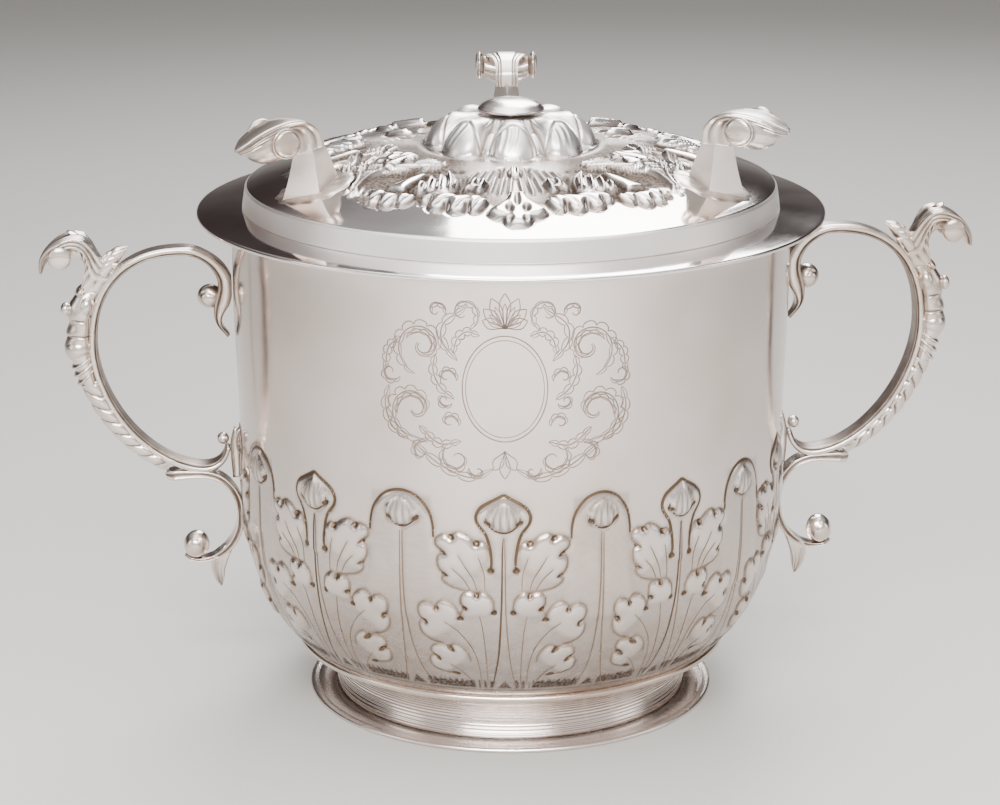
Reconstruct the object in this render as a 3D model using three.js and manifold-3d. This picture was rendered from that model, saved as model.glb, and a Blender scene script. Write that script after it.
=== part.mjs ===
// Two-handled covered cup in silver: a straight-sided bowl on a moulded foot, a pair of cast scroll handles
// and a lift-off cover with three scroll brackets that serve as its feet when it is turned over.
// Millimetres, +Z up. The origin is on the axis at the underside of the foot. The handles reach along X.

import * as THREE from 'three';
import { mergeVertices } from 'three/addons/utils/BufferGeometryUtils.js';
import Module from 'manifold-3d';

const wasm = await Module();
wasm.setup();

// Fits
const seatGap = 0.3;
const bezelClearance = 0.5;

// Foot
const footRadius = 58.8;
const footPlate = 1.3;
const footEdge = 0.35;
const footInnerRadius = 48.9;
const collarWaistRadius = 50.4;
const collarWaistHeight = 5.5;
const coveLip = 1.0;

// Wire between the foot and the bowl
const wireCentreRadius = 61.4;
const wireRadius = 1.15;

// Bowl
const bowlRadius = 77.8;
const mouthSplay = 1.0;
const mouthRadius = bowlRadius + mouthSplay;
const lipFlare = 0.5;
const bowlWall = 1.3;
const bowlFlatRadius = 50;
const bowlUnderHeight = 14.6;
const bowlTurnHeight = 47.4;
const turnPower = 2.1;
const mouthStraight = 29;
const rimHeight = 141.3;

// Cover: flange, bezel, drum and crown
const flangeOverhang = 9.2;
const flangeLap = 2.0;
const flangeThickness = 1.25;
const flangeFall = 0.7;
const flangeEdge = 0.3;
const bezelWall = 1.2;
const bezelDepth = 8.4;
const drumInset = 3.2;
const drumTaper = 0.9;
const drumHeight = 6.0;
const coverWall = 1.2;
const crownShoulder = 15.1;
const crownEdgeRise = 4.1;
const crownLeafWidth = 6.5;
const crownLeafRise = 8.4;
const crownBandWidth = 16;
const crownFlatRise = 9.6;
const crownCentreRise = 11.4;

const flangeRadius = mouthRadius + lipFlare + flangeOverhang;
const drumRadius = mouthRadius - drumInset;
const flangeInnerRadius = drumRadius - flangeLap;
const crownEdgeRadius = drumRadius - crownShoulder;
const crownLeafRadius = crownEdgeRadius - crownLeafWidth;
const crownFlatRadius = crownLeafRadius - crownBandWidth;

// Rosette and its button
const rosetteRadius = 24;
const rosetteHeight = 8.2;
const rosetteLeaves = 8;
const rosetteLobe = 1.1;
const buttonRadius = 9.3;
const buttonHeight = 3.3;

// Cover brackets: bearing about the axis and the outward lean of each head, both in degrees
const brackets = [
  { name: 'front_left', bearing: 203.5, lean: 10.5 },
  { name: 'front_right', bearing: 328.5, lean: 0 },
  { name: 'back', bearing: 85.5, lean: 4 },
];
const stemInset = 12.8;
const stemRidgeRadius = drumRadius - stemInset;
const stemHeight = 17.6;
const stemSunk = 2;
const stemNeck = { inner: 4.3, outer: 4.3, side: 3.3 };
const stemBase = { inner: 12.0, outer: 9.6, side: 8.8 };
const leanPivotDepth = 5.5;
const strapRise = 7.6;
const strapReach = 20.3;
const strapWidth = 11.6;
const strapShares = { foot: 0.6, tip: 0.5 };
const voluteHalfLength = 9.2;
const voluteDiscRadius = 3.9;
const voluteSwell = { out: 2.4, up: 0.4 };

// Handles
const handleStrap = 2.4;
const handleWidth = 7.0;
const leafTip = 0.9;
const leafThickness = 4.3;
const curlThickness = 1.5;
const archReach = 14.2;
const archDrop = 9.5;
const archFootDrop = 19.4;
const bowReach = 38.5;
const bowDrop = 36.3;
const curlReach = 9.4;
const curlDrop = 72.3;
const ribThickness = { top: 4.3, bottom: 2.9 };
const ribWidth = 5.4;
const thumbWidth = 11.0;
const bobbinRadius = 3.0;
const termEndDrop = 46.3;
const ribEndDrop = 69.8;
const termWidth = 7.6;
const termBacking = 2.4;
const upperBallRadius = 3.5;
const curlBallRadius = 1.6;
const lowerStrap = 2.1;
const lowerStrapWidth = 6.0;
const lowerBallRadius = 3.9;
const lowerBallReach = 12.2;
const lowerBallDrop = 96.7;
const dropLeafLength = 11.5;
const handles = [
  { name: 'left', turn: Math.PI, stretch: 0.98 },
  { name: 'right', turn: 0, stretch: 1.02 },
];

// Facets
const ringSegments = 44;
const smallSegments = 24;
const ballSegments = 12;
const bossSegments = 10;

const silver = { color: 0xd2c6c2, roughness: 0.16, metalness: 1 };

const point = (x, y) => new THREE.Vector2(x, y);

// A quarter (or more) of a superellipse in the radius-height plane, angles in degrees
function roundStretch(centre, half, power, start, end, steps) {
  const points = [];
  for (let i = 0; i <= steps; i++) {
    const angle = THREE.MathUtils.degToRad(start + (end - start) * (i / steps));
    const c = Math.cos(angle);
    const s = Math.sin(angle);
    const x = Math.sign(c) * Math.abs(c) ** (2 / power);
    const y = Math.sign(s) * Math.abs(s) ** (2 / power);
    points.push(point(centre.x + half.x * x, centre.y + half.y * y));
  }
  return points;
}

function splineThrough(points, steps) {
  return new THREE.SplineCurve(points).getPoints(steps);
}

function leftNormals(points) {
  return points.map((p, i) => {
    const before = points[Math.max(i - 1, 0)];
    const after = points[Math.min(i + 1, points.length - 1)];
    const along = after.clone().sub(before).normalize();
    return point(-along.y, along.x);
  });
}

// The strip between two offsets from a line, each offset a function of the share of the way along it
function strip(line, near, far) {
  const normals = leftNormals(line);
  const shifted = (offset) => line.map((p, i) => {
    return p.clone().addScaledVector(normals[i], offset(i / (line.length - 1)));
  });
  return [...shifted(near), ...shifted(far).reverse()];
}

// Solids
function facingOut(geometry) {
  const bare = geometry.index ? geometry.toNonIndexed() : geometry;
  bare.deleteAttribute('normal');
  bare.deleteAttribute('uv');
  const merged = mergeVertices(bare, 1e-4);
  const position = merged.attributes.position;
  const index = Array.from(merged.index.array);
  const [a, b, c] = [new THREE.Vector3(), new THREE.Vector3(), new THREE.Vector3()];
  const kept = [];
  let volume = 0;
  for (let i = 0; i < index.length; i += 3) {
    const corners = index.slice(i, i + 3);
    if (new Set(corners).size < 3) continue;
    kept.push(...corners);
    [a, b, c].forEach((v, k) => v.fromBufferAttribute(position, corners[k]));
    volume += a.dot(b.cross(c)) / 6;
  }
  merged.setIndex(volume < 0 ? kept.reverse() : kept);
  return merged;
}

function toSolid(geometry) {
  const closed = facingOut(geometry);
  return new wasm.Manifold(new wasm.Mesh({
    numProp: 3,
    vertProperties: new Float32Array(closed.attributes.position.array),
    triVerts: new Uint32Array(closed.index.array),
  }));
}

function toGeometry(solid) {
  const mesh = solid.getMesh();
  const geometry = new THREE.BufferGeometry();
  geometry.setAttribute('position', new THREE.BufferAttribute(mesh.vertProperties, 3));
  geometry.setIndex(new THREE.BufferAttribute(mesh.triVerts, 1));
  return geometry;
}

// A body of revolution about Z from radius-height points
function ring(profile, segments = ringSegments) {
  const geometry = new THREE.LatheGeometry(profile, segments);
  geometry.rotateX(Math.PI / 2);
  return geometry;
}

function closedRing(profile, segments = ringSegments) {
  return ring([...profile, profile[0]], segments);
}

// A side outline in the XZ plane, thickened along Y about the middle plane
function slab(outline, width, bevel = 0) {
  const geometry = new THREE.ExtrudeGeometry(new THREE.Shape(outline), {
    depth: width - 2 * bevel,
    bevelEnabled: bevel > 0,
    bevelThickness: bevel,
    bevelSize: bevel,
    bevelOffset: -bevel,
    bevelSegments: 1,
    curveSegments: 1,
  });
  geometry.translate(0, 0, -(width - 2 * bevel) / 2);
  geometry.rotateX(Math.PI / 2);
  return geometry;
}

function ball(radii, centre, segments = ballSegments) {
  const geometry = new THREE.SphereGeometry(1, segments, segments / 2);
  geometry.rotateX(Math.PI / 2);
  geometry.scale(radii.x, radii.y, radii.z);
  geometry.translate(centre.x, centre.y, centre.z);
  return geometry;
}

const round = (radius) => new THREE.Vector3(radius, radius, radius);
const inPlane = (x, z) => new THREE.Vector3(x, 0, z);
const ease = (share, from, to) => THREE.MathUtils.smoothstep(share, from, to);

// Bowl outline
const turnCentre = point(bowlFlatRadius, bowlUnderHeight + bowlTurnHeight);
const turnHalf = point(bowlRadius - bowlFlatRadius, bowlTurnHeight);

function bowlUnderside(radius) {
  const share = Math.max(radius - turnCentre.x, 0) / turnHalf.x;
  return turnCentre.y - turnHalf.y * (1 - share ** turnPower) ** (1 / turnPower);
}

const bowlOuter = [
  ...roundStretch(turnCentre, turnHalf, turnPower, 270, 360, 9),
  point(bowlRadius + 0.1, (turnCentre.y + rimHeight - mouthStraight) / 2),
  point(mouthRadius, rimHeight - mouthStraight),
  point(mouthRadius, rimHeight - 2.5),
  point(mouthRadius + lipFlare, rimHeight),
];

function shifted(profile, distance) {
  const normals = leftNormals(profile);
  return profile.map((p, i) => p.clone().addScaledVector(normals[i], distance));
}

function bowl() {
  const inner = shifted(bowlOuter, bowlWall);
  inner[inner.length - 1].y = rimHeight;
  return ring([
    point(0, bowlUnderHeight), ...bowlOuter, ...inner.reverse(), point(0, bowlUnderHeight + bowlWall),
  ]);
}

// The bowl filled in and swollen by the seat gap, for cutting what rests against it
function bowlCutter() {
  const outer = shifted(bowlOuter, -seatGap);
  return toSolid(ring([point(0, outer[0].y), ...outer, point(0, rimHeight)]));
}

// Foot
function footFlange() {
  return closedRing([
    point(footInnerRadius, 0),
    point(footRadius - footEdge, 0),
    point(footRadius, footEdge),
    point(footRadius, footPlate - footEdge),
    point(footRadius - footEdge, footPlate),
    point(footInnerRadius, footPlate),
  ]);
}

const coveTopRadius = wireCentreRadius - wireRadius - seatGap;
const coveTopHeight = bowlUnderside(coveTopRadius) - seatGap - coveLip;

function footCollar() {
  const base = footPlate + seatGap;
  const coveCentre = point(coveTopRadius, collarWaistHeight);
  const coveHalf = point(coveTopRadius - collarWaistRadius, coveTopHeight - collarWaistHeight);
  const cove = roundStretch(coveCentre, coveHalf, 2, 180, 90, 6);
  const seatRadii = [coveTopRadius, (coveTopRadius + footInnerRadius) / 2, footInnerRadius];
  const seat = seatRadii.map((radius) => point(radius, bowlUnderside(radius) - seatGap));
  return closedRing([
    point(footInnerRadius, base), point(collarWaistRadius + 0.6, base), ...cove, ...seat,
  ]);
}

function footWire() {
  const centre = point(wireCentreRadius, bowlUnderside(wireCentreRadius) - wireRadius * 0.9);
  const section = roundStretch(centre, point(wireRadius, wireRadius), 2, 0, 300, 5);
  return toGeometry(toSolid(closedRing(section)).subtract(bowlCutter()));
}

// Cover
const flangeTop = rimHeight + seatGap + flangeThickness + flangeFall * 0.6;
const flangeUnder = flangeTop - flangeThickness;
const drumBase = flangeTop + seatGap;
const drumTop = drumBase + drumHeight;

function coverFlange() {
  const fall = flangeFall;
  return closedRing([
    point(flangeInnerRadius, flangeUnder),
    point(drumRadius, flangeUnder),
    point(flangeRadius - flangeEdge, flangeUnder - fall),
    point(flangeRadius, flangeUnder - fall + flangeEdge),
    point(flangeRadius, flangeTop - fall - flangeEdge),
    point(flangeRadius - flangeEdge, flangeTop - fall),
    point(drumRadius + 0.5, flangeTop),
    point(flangeInnerRadius, flangeTop),
  ]);
}

function coverBezel() {
  const outer = mouthRadius - bowlWall - bezelClearance;
  const top = flangeUnder - seatGap - 0.15;
  return closedRing([
    point(outer - bezelWall, top - bezelDepth),
    point(outer - 0.3, top - bezelDepth),
    point(outer, top - bezelDepth + 1.5),
    point(outer, top),
    point(outer - bezelWall, top),
  ]);
}

const crownProfile = [
  point(drumRadius, drumBase),
  point(drumRadius - drumTaper, drumTop - 0.4),
  point(drumRadius - drumTaper - 0.5, drumTop),
  point((drumRadius + crownEdgeRadius) / 2, drumTop + crownEdgeRise * 0.56),
  point(crownEdgeRadius, drumTop + crownEdgeRise),
  point((crownEdgeRadius + crownLeafRadius) / 2 - 0.3, drumTop + (crownEdgeRise + crownLeafRise) / 2 + 0.7),
  point(crownLeafRadius, drumTop + crownLeafRise),
  point((crownLeafRadius + crownFlatRadius) / 2, drumTop + (crownLeafRise + crownFlatRise) / 2 + 0.2),
  point(crownFlatRadius, drumTop + crownFlatRise),
  point(rosetteRadius, drumTop + (crownFlatRise + crownCentreRise) / 2),
];
const crownCentre = point(0, drumTop + crownCentreRise);

function coverShell() {
  const inner = shifted(crownProfile, coverWall);
  inner[0].y = drumBase;
  return closedRing([
    ...crownProfile, crownCentre, point(0, crownCentre.y - coverWall), ...inner.reverse(),
  ]);
}

// The cover filled in and swollen by the seat gap, for cutting what stands on it
function crownCutter() {
  const outer = shifted(crownProfile, -seatGap);
  const bottom = [point(0, rimHeight), point(outer[0].x, rimHeight)];
  return toSolid(ring([...bottom, ...outer, point(0, crownCentre.y + seatGap)]));
}

function rosette() {
  const base = crownCentre.y + seatGap;
  const profile = [
    point(0, drumTop),
    point(rosetteRadius - 1.4, drumTop),
    point(rosetteRadius - 0.2, base + 0.2),
    point(rosetteRadius - 2.6, base + rosetteHeight * 0.36),
    point(rosetteRadius - 7.5, base + rosetteHeight * 0.7),
    point(buttonRadius + 0.8, base + rosetteHeight - 0.6),
    point(buttonRadius - 1.2, base + rosetteHeight),
    point(0, base + rosetteHeight),
  ];
  const geometry = ring(profile, ringSegments);
  const position = geometry.attributes.position;
  for (let i = 0; i < position.count; i++) {
    const [x, y] = [position.getX(i), position.getY(i)];
    const radius = Math.hypot(x, y);
    if (radius < buttonRadius + 1) continue;
    const share = (radius - buttonRadius) / rosetteRadius;
    const wave = 1 + (Math.cos(rosetteLeaves * Math.atan2(y, x)) * rosetteLobe * share) / radius;
    position.setXY(i, x * wave, y * wave);
  }
  return toGeometry(toSolid(geometry).subtract(crownCutter()));
}

function rosetteButton() {
  const base = crownCentre.y + seatGap + rosetteHeight + seatGap;
  const dome = roundStretch(point(0, base), point(buttonRadius, buttonHeight), 2, 12, 90, 5).slice(0, -1);
  const profile = [point(0, base), point(buttonRadius - 0.2, base), ...dome, point(0, base + buttonHeight)];
  return ring(profile, smallSegments);
}

// Brackets, drawn in the XZ plane and then turned to their bearing
const neckHeight = drumTop + stemHeight;
const leanPivot = point(stemRidgeRadius - stemNeck.inner, neckHeight - leanPivotDepth);

// Tips a bracket's head outward about the pivot by the angle that lean gives for each vertex
function leanOut(geometry, lean) {
  const position = geometry.attributes.position;
  for (let i = 0; i < position.count; i++) {
    const spot = point(position.getX(i), position.getZ(i));
    spot.rotateAround(leanPivot, -THREE.MathUtils.degToRad(lean(spot.y)));
    position.setXYZ(i, spot.x, position.getY(i), spot.y);
  }
  return geometry;
}

function bracketStem(lean) {
  const levels = 7;
  const geometry = new THREE.CylinderGeometry(1, 1, 1, 4, levels);
  geometry.rotateX(Math.PI / 2);
  const position = geometry.attributes.position;
  for (let i = 0; i < position.count; i++) {
    const [x, y, z] = [position.getX(i), position.getY(i), position.getZ(i)];
    const down = 0.5 - z;
    const flare = down ** 1.7;
    const mix = (key, share) => stemNeck[key] + (stemBase[key] - stemNeck[key]) * share;
    const reach = x < 0 ? mix('inner', down) : mix('outer', flare);
    const height = neckHeight - down * (stemHeight + stemSunk);
    position.setXYZ(i, stemRidgeRadius + x * reach, y * mix('side', flare), height);
  }
  const bent = leanOut(geometry, (height) => lean * ease(height, neckHeight - leanPivotDepth, neckHeight));
  return toGeometry(toSolid(bent).subtract(crownCutter()));
}

// Offsets are from the ridge of the stem and from its neck
function strapOutline() {
  const at = (x, z) => point(stemRidgeRadius + x, neckHeight + seatGap + z);
  const top = splineThrough([
    at(-4.2, 0), at(-3.5, 3), at(-0.2, strapRise * 0.8), at(5.4, strapRise), at(10.6, strapRise - 0.3),
    at(15.3, strapRise - 1.8), at(strapReach, 3.1),
  ], 14);
  const under = splineThrough([
    at(strapReach - 0.9, 2), at(15.6, 3.7), at(11.5, 5), at(7, 5.4), at(3.9, 3.6), at(3.4, 0),
  ], 9);
  return [...top, ...under];
}

function volute(swell, lean) {
  const geometry = new THREE.CylinderGeometry(1, 1, 1, 18, 8);
  const position = geometry.attributes.position;
  const length = 2 * voluteHalfLength + 2 * swell;
  for (let i = 0; i < position.count; i++) {
    const [x, along, z] = [position.getX(i), position.getY(i), position.getZ(i)];
    const middle = 1 - (2 * Math.abs(along)) ** 1.4;
    const centre = point(stemRidgeRadius + 8.8 + 2.2 * middle, neckHeight + 3.7 - 1.6 * middle);
    const out = voluteDiscRadius + voluteSwell.out * middle + swell;
    const up = voluteDiscRadius + voluteSwell.up * middle + swell;
    position.setXYZ(i, centre.x + out * x, along * length, centre.y + up * z);
  }
  return leanOut(geometry, () => lean);
}

// Narrow where it springs from the neck, broad over the crest, narrow again at the leaf tip
function strapShare(out) {
  const spread = strapShares.foot + (1 - strapShares.foot) * ease(out, 0, 7);
  return spread - (1 - strapShares.tip) * ease(out, 12, strapReach + 1);
}

function bracketStrap(lean) {
  const strap = slab(strapOutline(), strapWidth, 0.35);
  const position = strap.attributes.position;
  for (let i = 0; i < position.count; i++) {
    position.setY(i, position.getY(i) * strapShare(position.getX(i) - stemRidgeRadius));
  }
  return toGeometry(toSolid(leanOut(strap, () => lean)).subtract(toSolid(volute(seatGap, lean))));
}

// Handles, drawn in the XZ plane for the right side
const stretchPivot = rimHeight - curlDrop;
const archFootCentre = point(mouthRadius + archReach, rimHeight - archFootDrop);
const archHalf = point(archReach - 4.0, archFootDrop - archDrop);
const archCentre = point(mouthRadius + archReach, rimHeight - bowDrop);
const bowHalfUp = point(bowReach - archReach, bowDrop - archDrop);
const curlCentre = point(mouthRadius + curlReach, rimHeight - bowDrop);
const bowHalfDown = point(bowReach - curlReach, curlDrop - bowDrop);
const fromWall = (x, drop) => point(mouthRadius + x, rimHeight - drop);

// The finger side of the main scroll, from the leaf under the rim to the curl beside the wall
const fingerLine = [
  ...splineThrough([
    fromWall(1.9, archFootDrop + 14.8), fromWall(4.9, archFootDrop + 10.6),
    fromWall(5.6, archFootDrop + 6), fromWall(4.1, archFootDrop),
  ], 7).slice(0, -1),
  ...roundStretch(archFootCentre, archHalf, 2, 180, 90, 6).slice(0, -1),
  ...roundStretch(archCentre, bowHalfUp, 2.35, 90, 0, 10).slice(0, -1),
  ...roundStretch(curlCentre, bowHalfDown, 1.75, 360, 270, 14).slice(0, -1),
  ...roundStretch(fromWall(curlReach, curlDrop - 7), point(curlReach - 2.5, 7), 2.3, 270, 190, 6),
];

function scrollThickness(share) {
  const leaf = leafTip + (leafThickness - leafTip) * ease(share, 0.02, 0.13);
  const arch = leaf - (leaf - handleStrap) * ease(share, 0.15, 0.26);
  return arch - (arch - curlThickness) * ease(share, 0.86, 1);
}

// The outer half of the finger line, from the top of the arch down to the curl
const bowLine = fingerLine.filter((p) => p.x > archCentre.x);

function partOfBow(startDrop, endDrop) {
  const crossing = (height) => {
    const after = bowLine.findIndex((p) => p.y < height);
    const [above, below] = [bowLine[after - 1], bowLine[after]];
    return above.clone().lerp(below, (above.y - height) / (above.y - below.y));
  };
  const [top, bottom] = [rimHeight - startDrop, rimHeight - endDrop];
  return [crossing(top), ...bowLine.filter((p) => p.y < top && p.y > bottom), crossing(bottom)];
}

function scrollSolid(swell) {
  const far = (share) => scrollThickness(share) + swell;
  const bevel = swell > 0 ? 0 : 0.3;
  return toSolid(slab(strip(fingerLine, () => -swell, far), handleWidth + 2 * swell, bevel));
}

function ballIn(centre, radius) {
  return ball(round(radius), inPlane(centre.x, centre.y));
}

const upperBall = fromWall(6.6, archFootDrop + 2.9);
const curlBall = fromWall(3.0, curlDrop - 7.1);

function mainScroll(cutter) {
  const solid = scrollSolid(0)
    .subtract(cutter)
    .subtract(toSolid(ballIn(upperBall, upperBallRadius + seatGap)))
    .subtract(toSolid(ballIn(curlBall, curlBallRadius + seatGap)));
  return toGeometry(solid);
}

const backOffset = handleStrap + seatGap;

function outerRib() {
  const taper = (share) => backOffset + ribThickness.top + (ribThickness.bottom - ribThickness.top) * share;
  const outline = strip(partOfBow(termEndDrop + 1.1, ribEndDrop), () => backOffset, taper);
  return slab(outline, ribWidth, 0.5);
}

// Worn term on the back of the bow, kept as plain bosses
function term() {
  const face = mouthRadius + bowReach + backOffset;
  const at = (out, drop) => point(face + out, rimHeight - bowDrop - drop);
  const boss = (out, drop, radii) => {
    const centre = at(out, drop);
    return toSolid(ball(new THREE.Vector3(...radii), inPlane(centre.x, centre.y), bossSegments));
  };
  const backLine = partOfBow(bowDrop - 13.2, termEndDrop);
  const backOutline = strip(backLine, () => backOffset, () => backOffset + termBacking);
  const back = toSolid(slab(backOutline, termWidth, 0.4));
  const chestOutline = [at(-0.3, -3.6), at(6.1, -3.6), at(5.2, -8.4), at(-0.3, -8.6)];
  const chest = toSolid(slab(chestOutline, termWidth - 1.4, 0.5));
  const solid = back
    .add(boss(1.0, -11.7, [3.3, 4.2, 3.5]))
    .add(boss(5.7, -11.2, [1.7, 1.7, 1.7]))
    .add(boss(3.2, -10.4, [2.6, 2.8, 2.6]))
    .add(chest)
    .add(boss(2.2, 0.5, [4.3, 4.4, 3.9]))
    .add(boss(1.6, 5.0, [3.0, 4.2, 1.3]))
    .add(boss(1.0, 7.7, [3.2, 4.3, 1.3]))
    .subtract(scrollSolid(seatGap));
  return toGeometry(mainPiece(solid));
}

// Offsets are from the outermost reach of the bow and from the top of the arch
const fromBow = (out, drop) => fromWall(bowReach + out, archDrop + drop);
const thumbBoss = fromBow(9.3, -0.6);

function thumbLeaf() {
  const at = fromBow;
  const outline = [
    ...splineThrough([
      at(-5.5, 0.3), at(-2.9, 1.7), at(-1.1, -0.3), at(1.3, -3.7), at(5.3, -6.1), at(10.9, -3.9),
      at(14.3, -0.1), at(15.5, 4),
    ], 20),
    ...splineThrough([
      at(14.8, 4.2), at(14.1, 2.4), at(12.5, 0.8), at(9.5, 0.4), at(6.5, 0.2), at(4.6, -0.3), at(3.1, 0.8),
      at(2.7, 3.5), at(3.2, 6.6), at(4.9, 10.8),
    ], 16),
    at(-2.5, 10.8), at(-9.7, 2.9), at(-9.3, -0.1),
  ];
  const solid = toSolid(slab(outline, thumbWidth, 0.25))
    .subtract(scrollSolid(seatGap))
    .subtract(toSolid(thumbBobbin(seatGap)));
  return toGeometry(mainPiece(solid));
}

function mainPiece(solid) {
  const pieces = solid.decompose();
  return pieces.reduce((best, piece) => (piece.volume() > best.volume() ? piece : best));
}

function thumbBobbin(swell) {
  const radii = new THREE.Vector3(bobbinRadius + swell, thumbWidth / 2 + 0.6 + swell, bobbinRadius + swell);
  return ball(radii, inPlane(thumbBoss.x, thumbBoss.y));
}

// The finger side of the lower bracket, from its ball up along the wall to the flat end under the scroll
const lowerTopDrop = curlDrop + handleStrap + seatGap;
const fromLowerBall = (out, drop) => fromWall(lowerBallReach + out, lowerBallDrop + drop);
const lowerBall = fromLowerBall(0, 0);
const lowerRise = lowerBallDrop - 6.4 - lowerTopDrop - lowerStrap;
const lowerLine = [
  fromLowerBall(-3.2, 1.2),
  ...roundStretch(fromLowerBall(-5.4, -6.4), point(6.6, 7.6), 2, 270, 180, 7).slice(0, -1),
  ...roundStretch(fromLowerBall(-5, -6.4), point(7.0, lowerRise), 2, 180, 90, 7),
  fromWall(13, lowerTopDrop + lowerStrap),
  fromWall(20.3, lowerTopDrop + lowerStrap),
];

function lowerSolid(swell) {
  const bevel = swell > 0 ? 0 : 0.3;
  const outline = strip(lowerLine, () => -swell, () => lowerStrap + swell);
  return toSolid(slab(outline, lowerStrapWidth + 2 * swell, bevel));
}

function lowerBracket(cutter) {
  const solid = lowerSolid(0)
    .subtract(cutter)
    .subtract(toSolid(ballIn(lowerBall, lowerBallRadius + seatGap)));
  return toGeometry(mainPiece(solid));
}

function dropLeaf(cutter) {
  const at = fromLowerBall;
  const tip = 2.8 + dropLeafLength;
  const outline = splineThrough([
    at(-9.6, -3.2), at(-8.3, 4.3), at(-6.3, tip), at(-4, tip - 4.5), at(-3.2, 3.5), at(-4.6, -0.7),
  ], 14);
  const solid = toSolid(slab(outline, lowerStrapWidth - 0.8, 0.3))
    .subtract(cutter)
    .subtract(lowerSolid(seatGap))
    .subtract(toSolid(ballIn(lowerBall, lowerBallRadius + seatGap)));
  return toGeometry(mainPiece(solid));
}

function risingLeaf(cutter) {
  const at = (out, drop) => fromWall(out, curlDrop + drop);
  const outline = [at(-1.2, 3.3), at(0.6, 2.9), at(0.5, -4.3), at(-0.1, -11.9), at(-1.4, -11.7)];
  const solid = toSolid(slab(outline, lowerStrapWidth - 1.2))
    .subtract(cutter)
    .subtract(scrollSolid(seatGap))
    .subtract(lowerSolid(seatGap));
  return toGeometry(mainPiece(solid));
}

// Assembly
const cup = new THREE.Group();

function place(name, geometry, parent = cup) {
  const mesh = new THREE.Mesh(facingOut(geometry), new THREE.MeshStandardMaterial(silver));
  mesh.name = name;
  parent.add(mesh);
}

place('cup_bowl', bowl());
place('foot_wire', footWire());
place('foot_collar', footCollar());
place('foot_flange', footFlange());
place('cover_shell', coverShell());
place('cover_flange', coverFlange());
place('cover_bezel', coverBezel());
place('cover_rosette', rosette());
place('rosette_button', rosetteButton());

for (const bracket of brackets) {
  const group = new THREE.Group();
  group.rotation.z = THREE.MathUtils.degToRad(bracket.bearing);
  cup.add(group);
  place(`bracket_${bracket.name}_stem`, bracketStem(bracket.lean), group);
  place(`bracket_${bracket.name}_strap`, bracketStrap(bracket.lean), group);
  place(`bracket_${bracket.name}_volute`, volute(0, bracket.lean), group);
}

const wall = bowlCutter();
for (const handle of handles) {
  const group = new THREE.Group();
  group.rotation.z = handle.turn;
  group.scale.z = handle.stretch;
  group.position.z = stretchPivot * (1 - handle.stretch);
  cup.add(group);
  const add = (name, geometry) => place(`handle_${handle.name}_${name}`, geometry, group);
  add('scroll', mainScroll(wall));
  add('upper_ball', ballIn(upperBall, upperBallRadius));
  add('curl_ball', ballIn(curlBall, curlBallRadius));
  add('rib', outerRib());
  add('term', term());
  add('thumb_leaf', thumbLeaf());
  add('thumb_bobbin', thumbBobbin(0));
  add('lower_bracket', lowerBracket(wall));
  add('lower_ball', ballIn(lowerBall, lowerBallRadius));
  add('drop_leaf', dropLeaf(wall));
  add('rising_leaf', risingLeaf(wall));
}

export default cup;
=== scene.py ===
"""Looks of the two-handled covered cup: chased silver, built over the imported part.
Lengths are millimetres here, and add_piece turns them into the frame's metres."""

import math

import bpy
import numpy as np
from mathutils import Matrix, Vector


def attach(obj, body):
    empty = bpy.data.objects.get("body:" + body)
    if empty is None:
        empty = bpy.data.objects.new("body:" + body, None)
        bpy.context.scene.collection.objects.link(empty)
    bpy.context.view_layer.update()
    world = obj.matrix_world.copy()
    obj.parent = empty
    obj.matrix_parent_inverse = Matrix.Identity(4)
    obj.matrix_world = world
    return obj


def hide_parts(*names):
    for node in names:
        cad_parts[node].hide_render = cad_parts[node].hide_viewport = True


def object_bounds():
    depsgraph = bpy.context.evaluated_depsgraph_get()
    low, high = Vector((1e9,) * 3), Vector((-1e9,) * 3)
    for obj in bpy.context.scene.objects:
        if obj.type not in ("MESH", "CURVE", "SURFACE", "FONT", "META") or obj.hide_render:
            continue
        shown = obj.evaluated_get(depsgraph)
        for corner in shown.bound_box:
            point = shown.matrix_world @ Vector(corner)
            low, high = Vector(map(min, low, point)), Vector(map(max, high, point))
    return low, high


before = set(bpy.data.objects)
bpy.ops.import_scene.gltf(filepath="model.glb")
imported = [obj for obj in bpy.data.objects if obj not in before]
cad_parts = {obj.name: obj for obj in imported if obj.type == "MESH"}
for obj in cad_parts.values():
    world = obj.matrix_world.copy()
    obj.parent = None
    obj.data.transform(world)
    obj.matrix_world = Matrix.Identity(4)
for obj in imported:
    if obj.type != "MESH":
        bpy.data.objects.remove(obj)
cad_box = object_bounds()

MM = 0.001
# Metres that every vertex stays inside the solids' box
BOX_MARGIN = 1e-5

# Sizes of the part, in millimetres
RIM_HEIGHT = 141.3
MOUTH_RADIUS = 78.8
LIP_RADIUS = 79.3
BOWL_RADIUS = 77.8
BOWL_WALL = 1.3
UNDER_HEIGHT = 14.6
FLAT_RADIUS = 50.0
TURN_HEIGHT = 47.4
TURN_POWER = 2.1
WIRE_CENTRE = 61.4
WIRE_RADIUS = 1.15

# How many vertices round pieces have round them
DISC_COLUMNS = 120
BUTTON_COLUMNS = 160
INSIDE_COLUMNS = 180
SHELL_COLUMNS = 240
FOOT_COLUMNS = 300
COVER_COLUMNS = 360
ROSETTE_COLUMNS = 720
WALL_COLUMNS = 720
BAND_COLUMNS = 840
CROWN_COLUMNS = 960


# Curves and meshes

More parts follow.
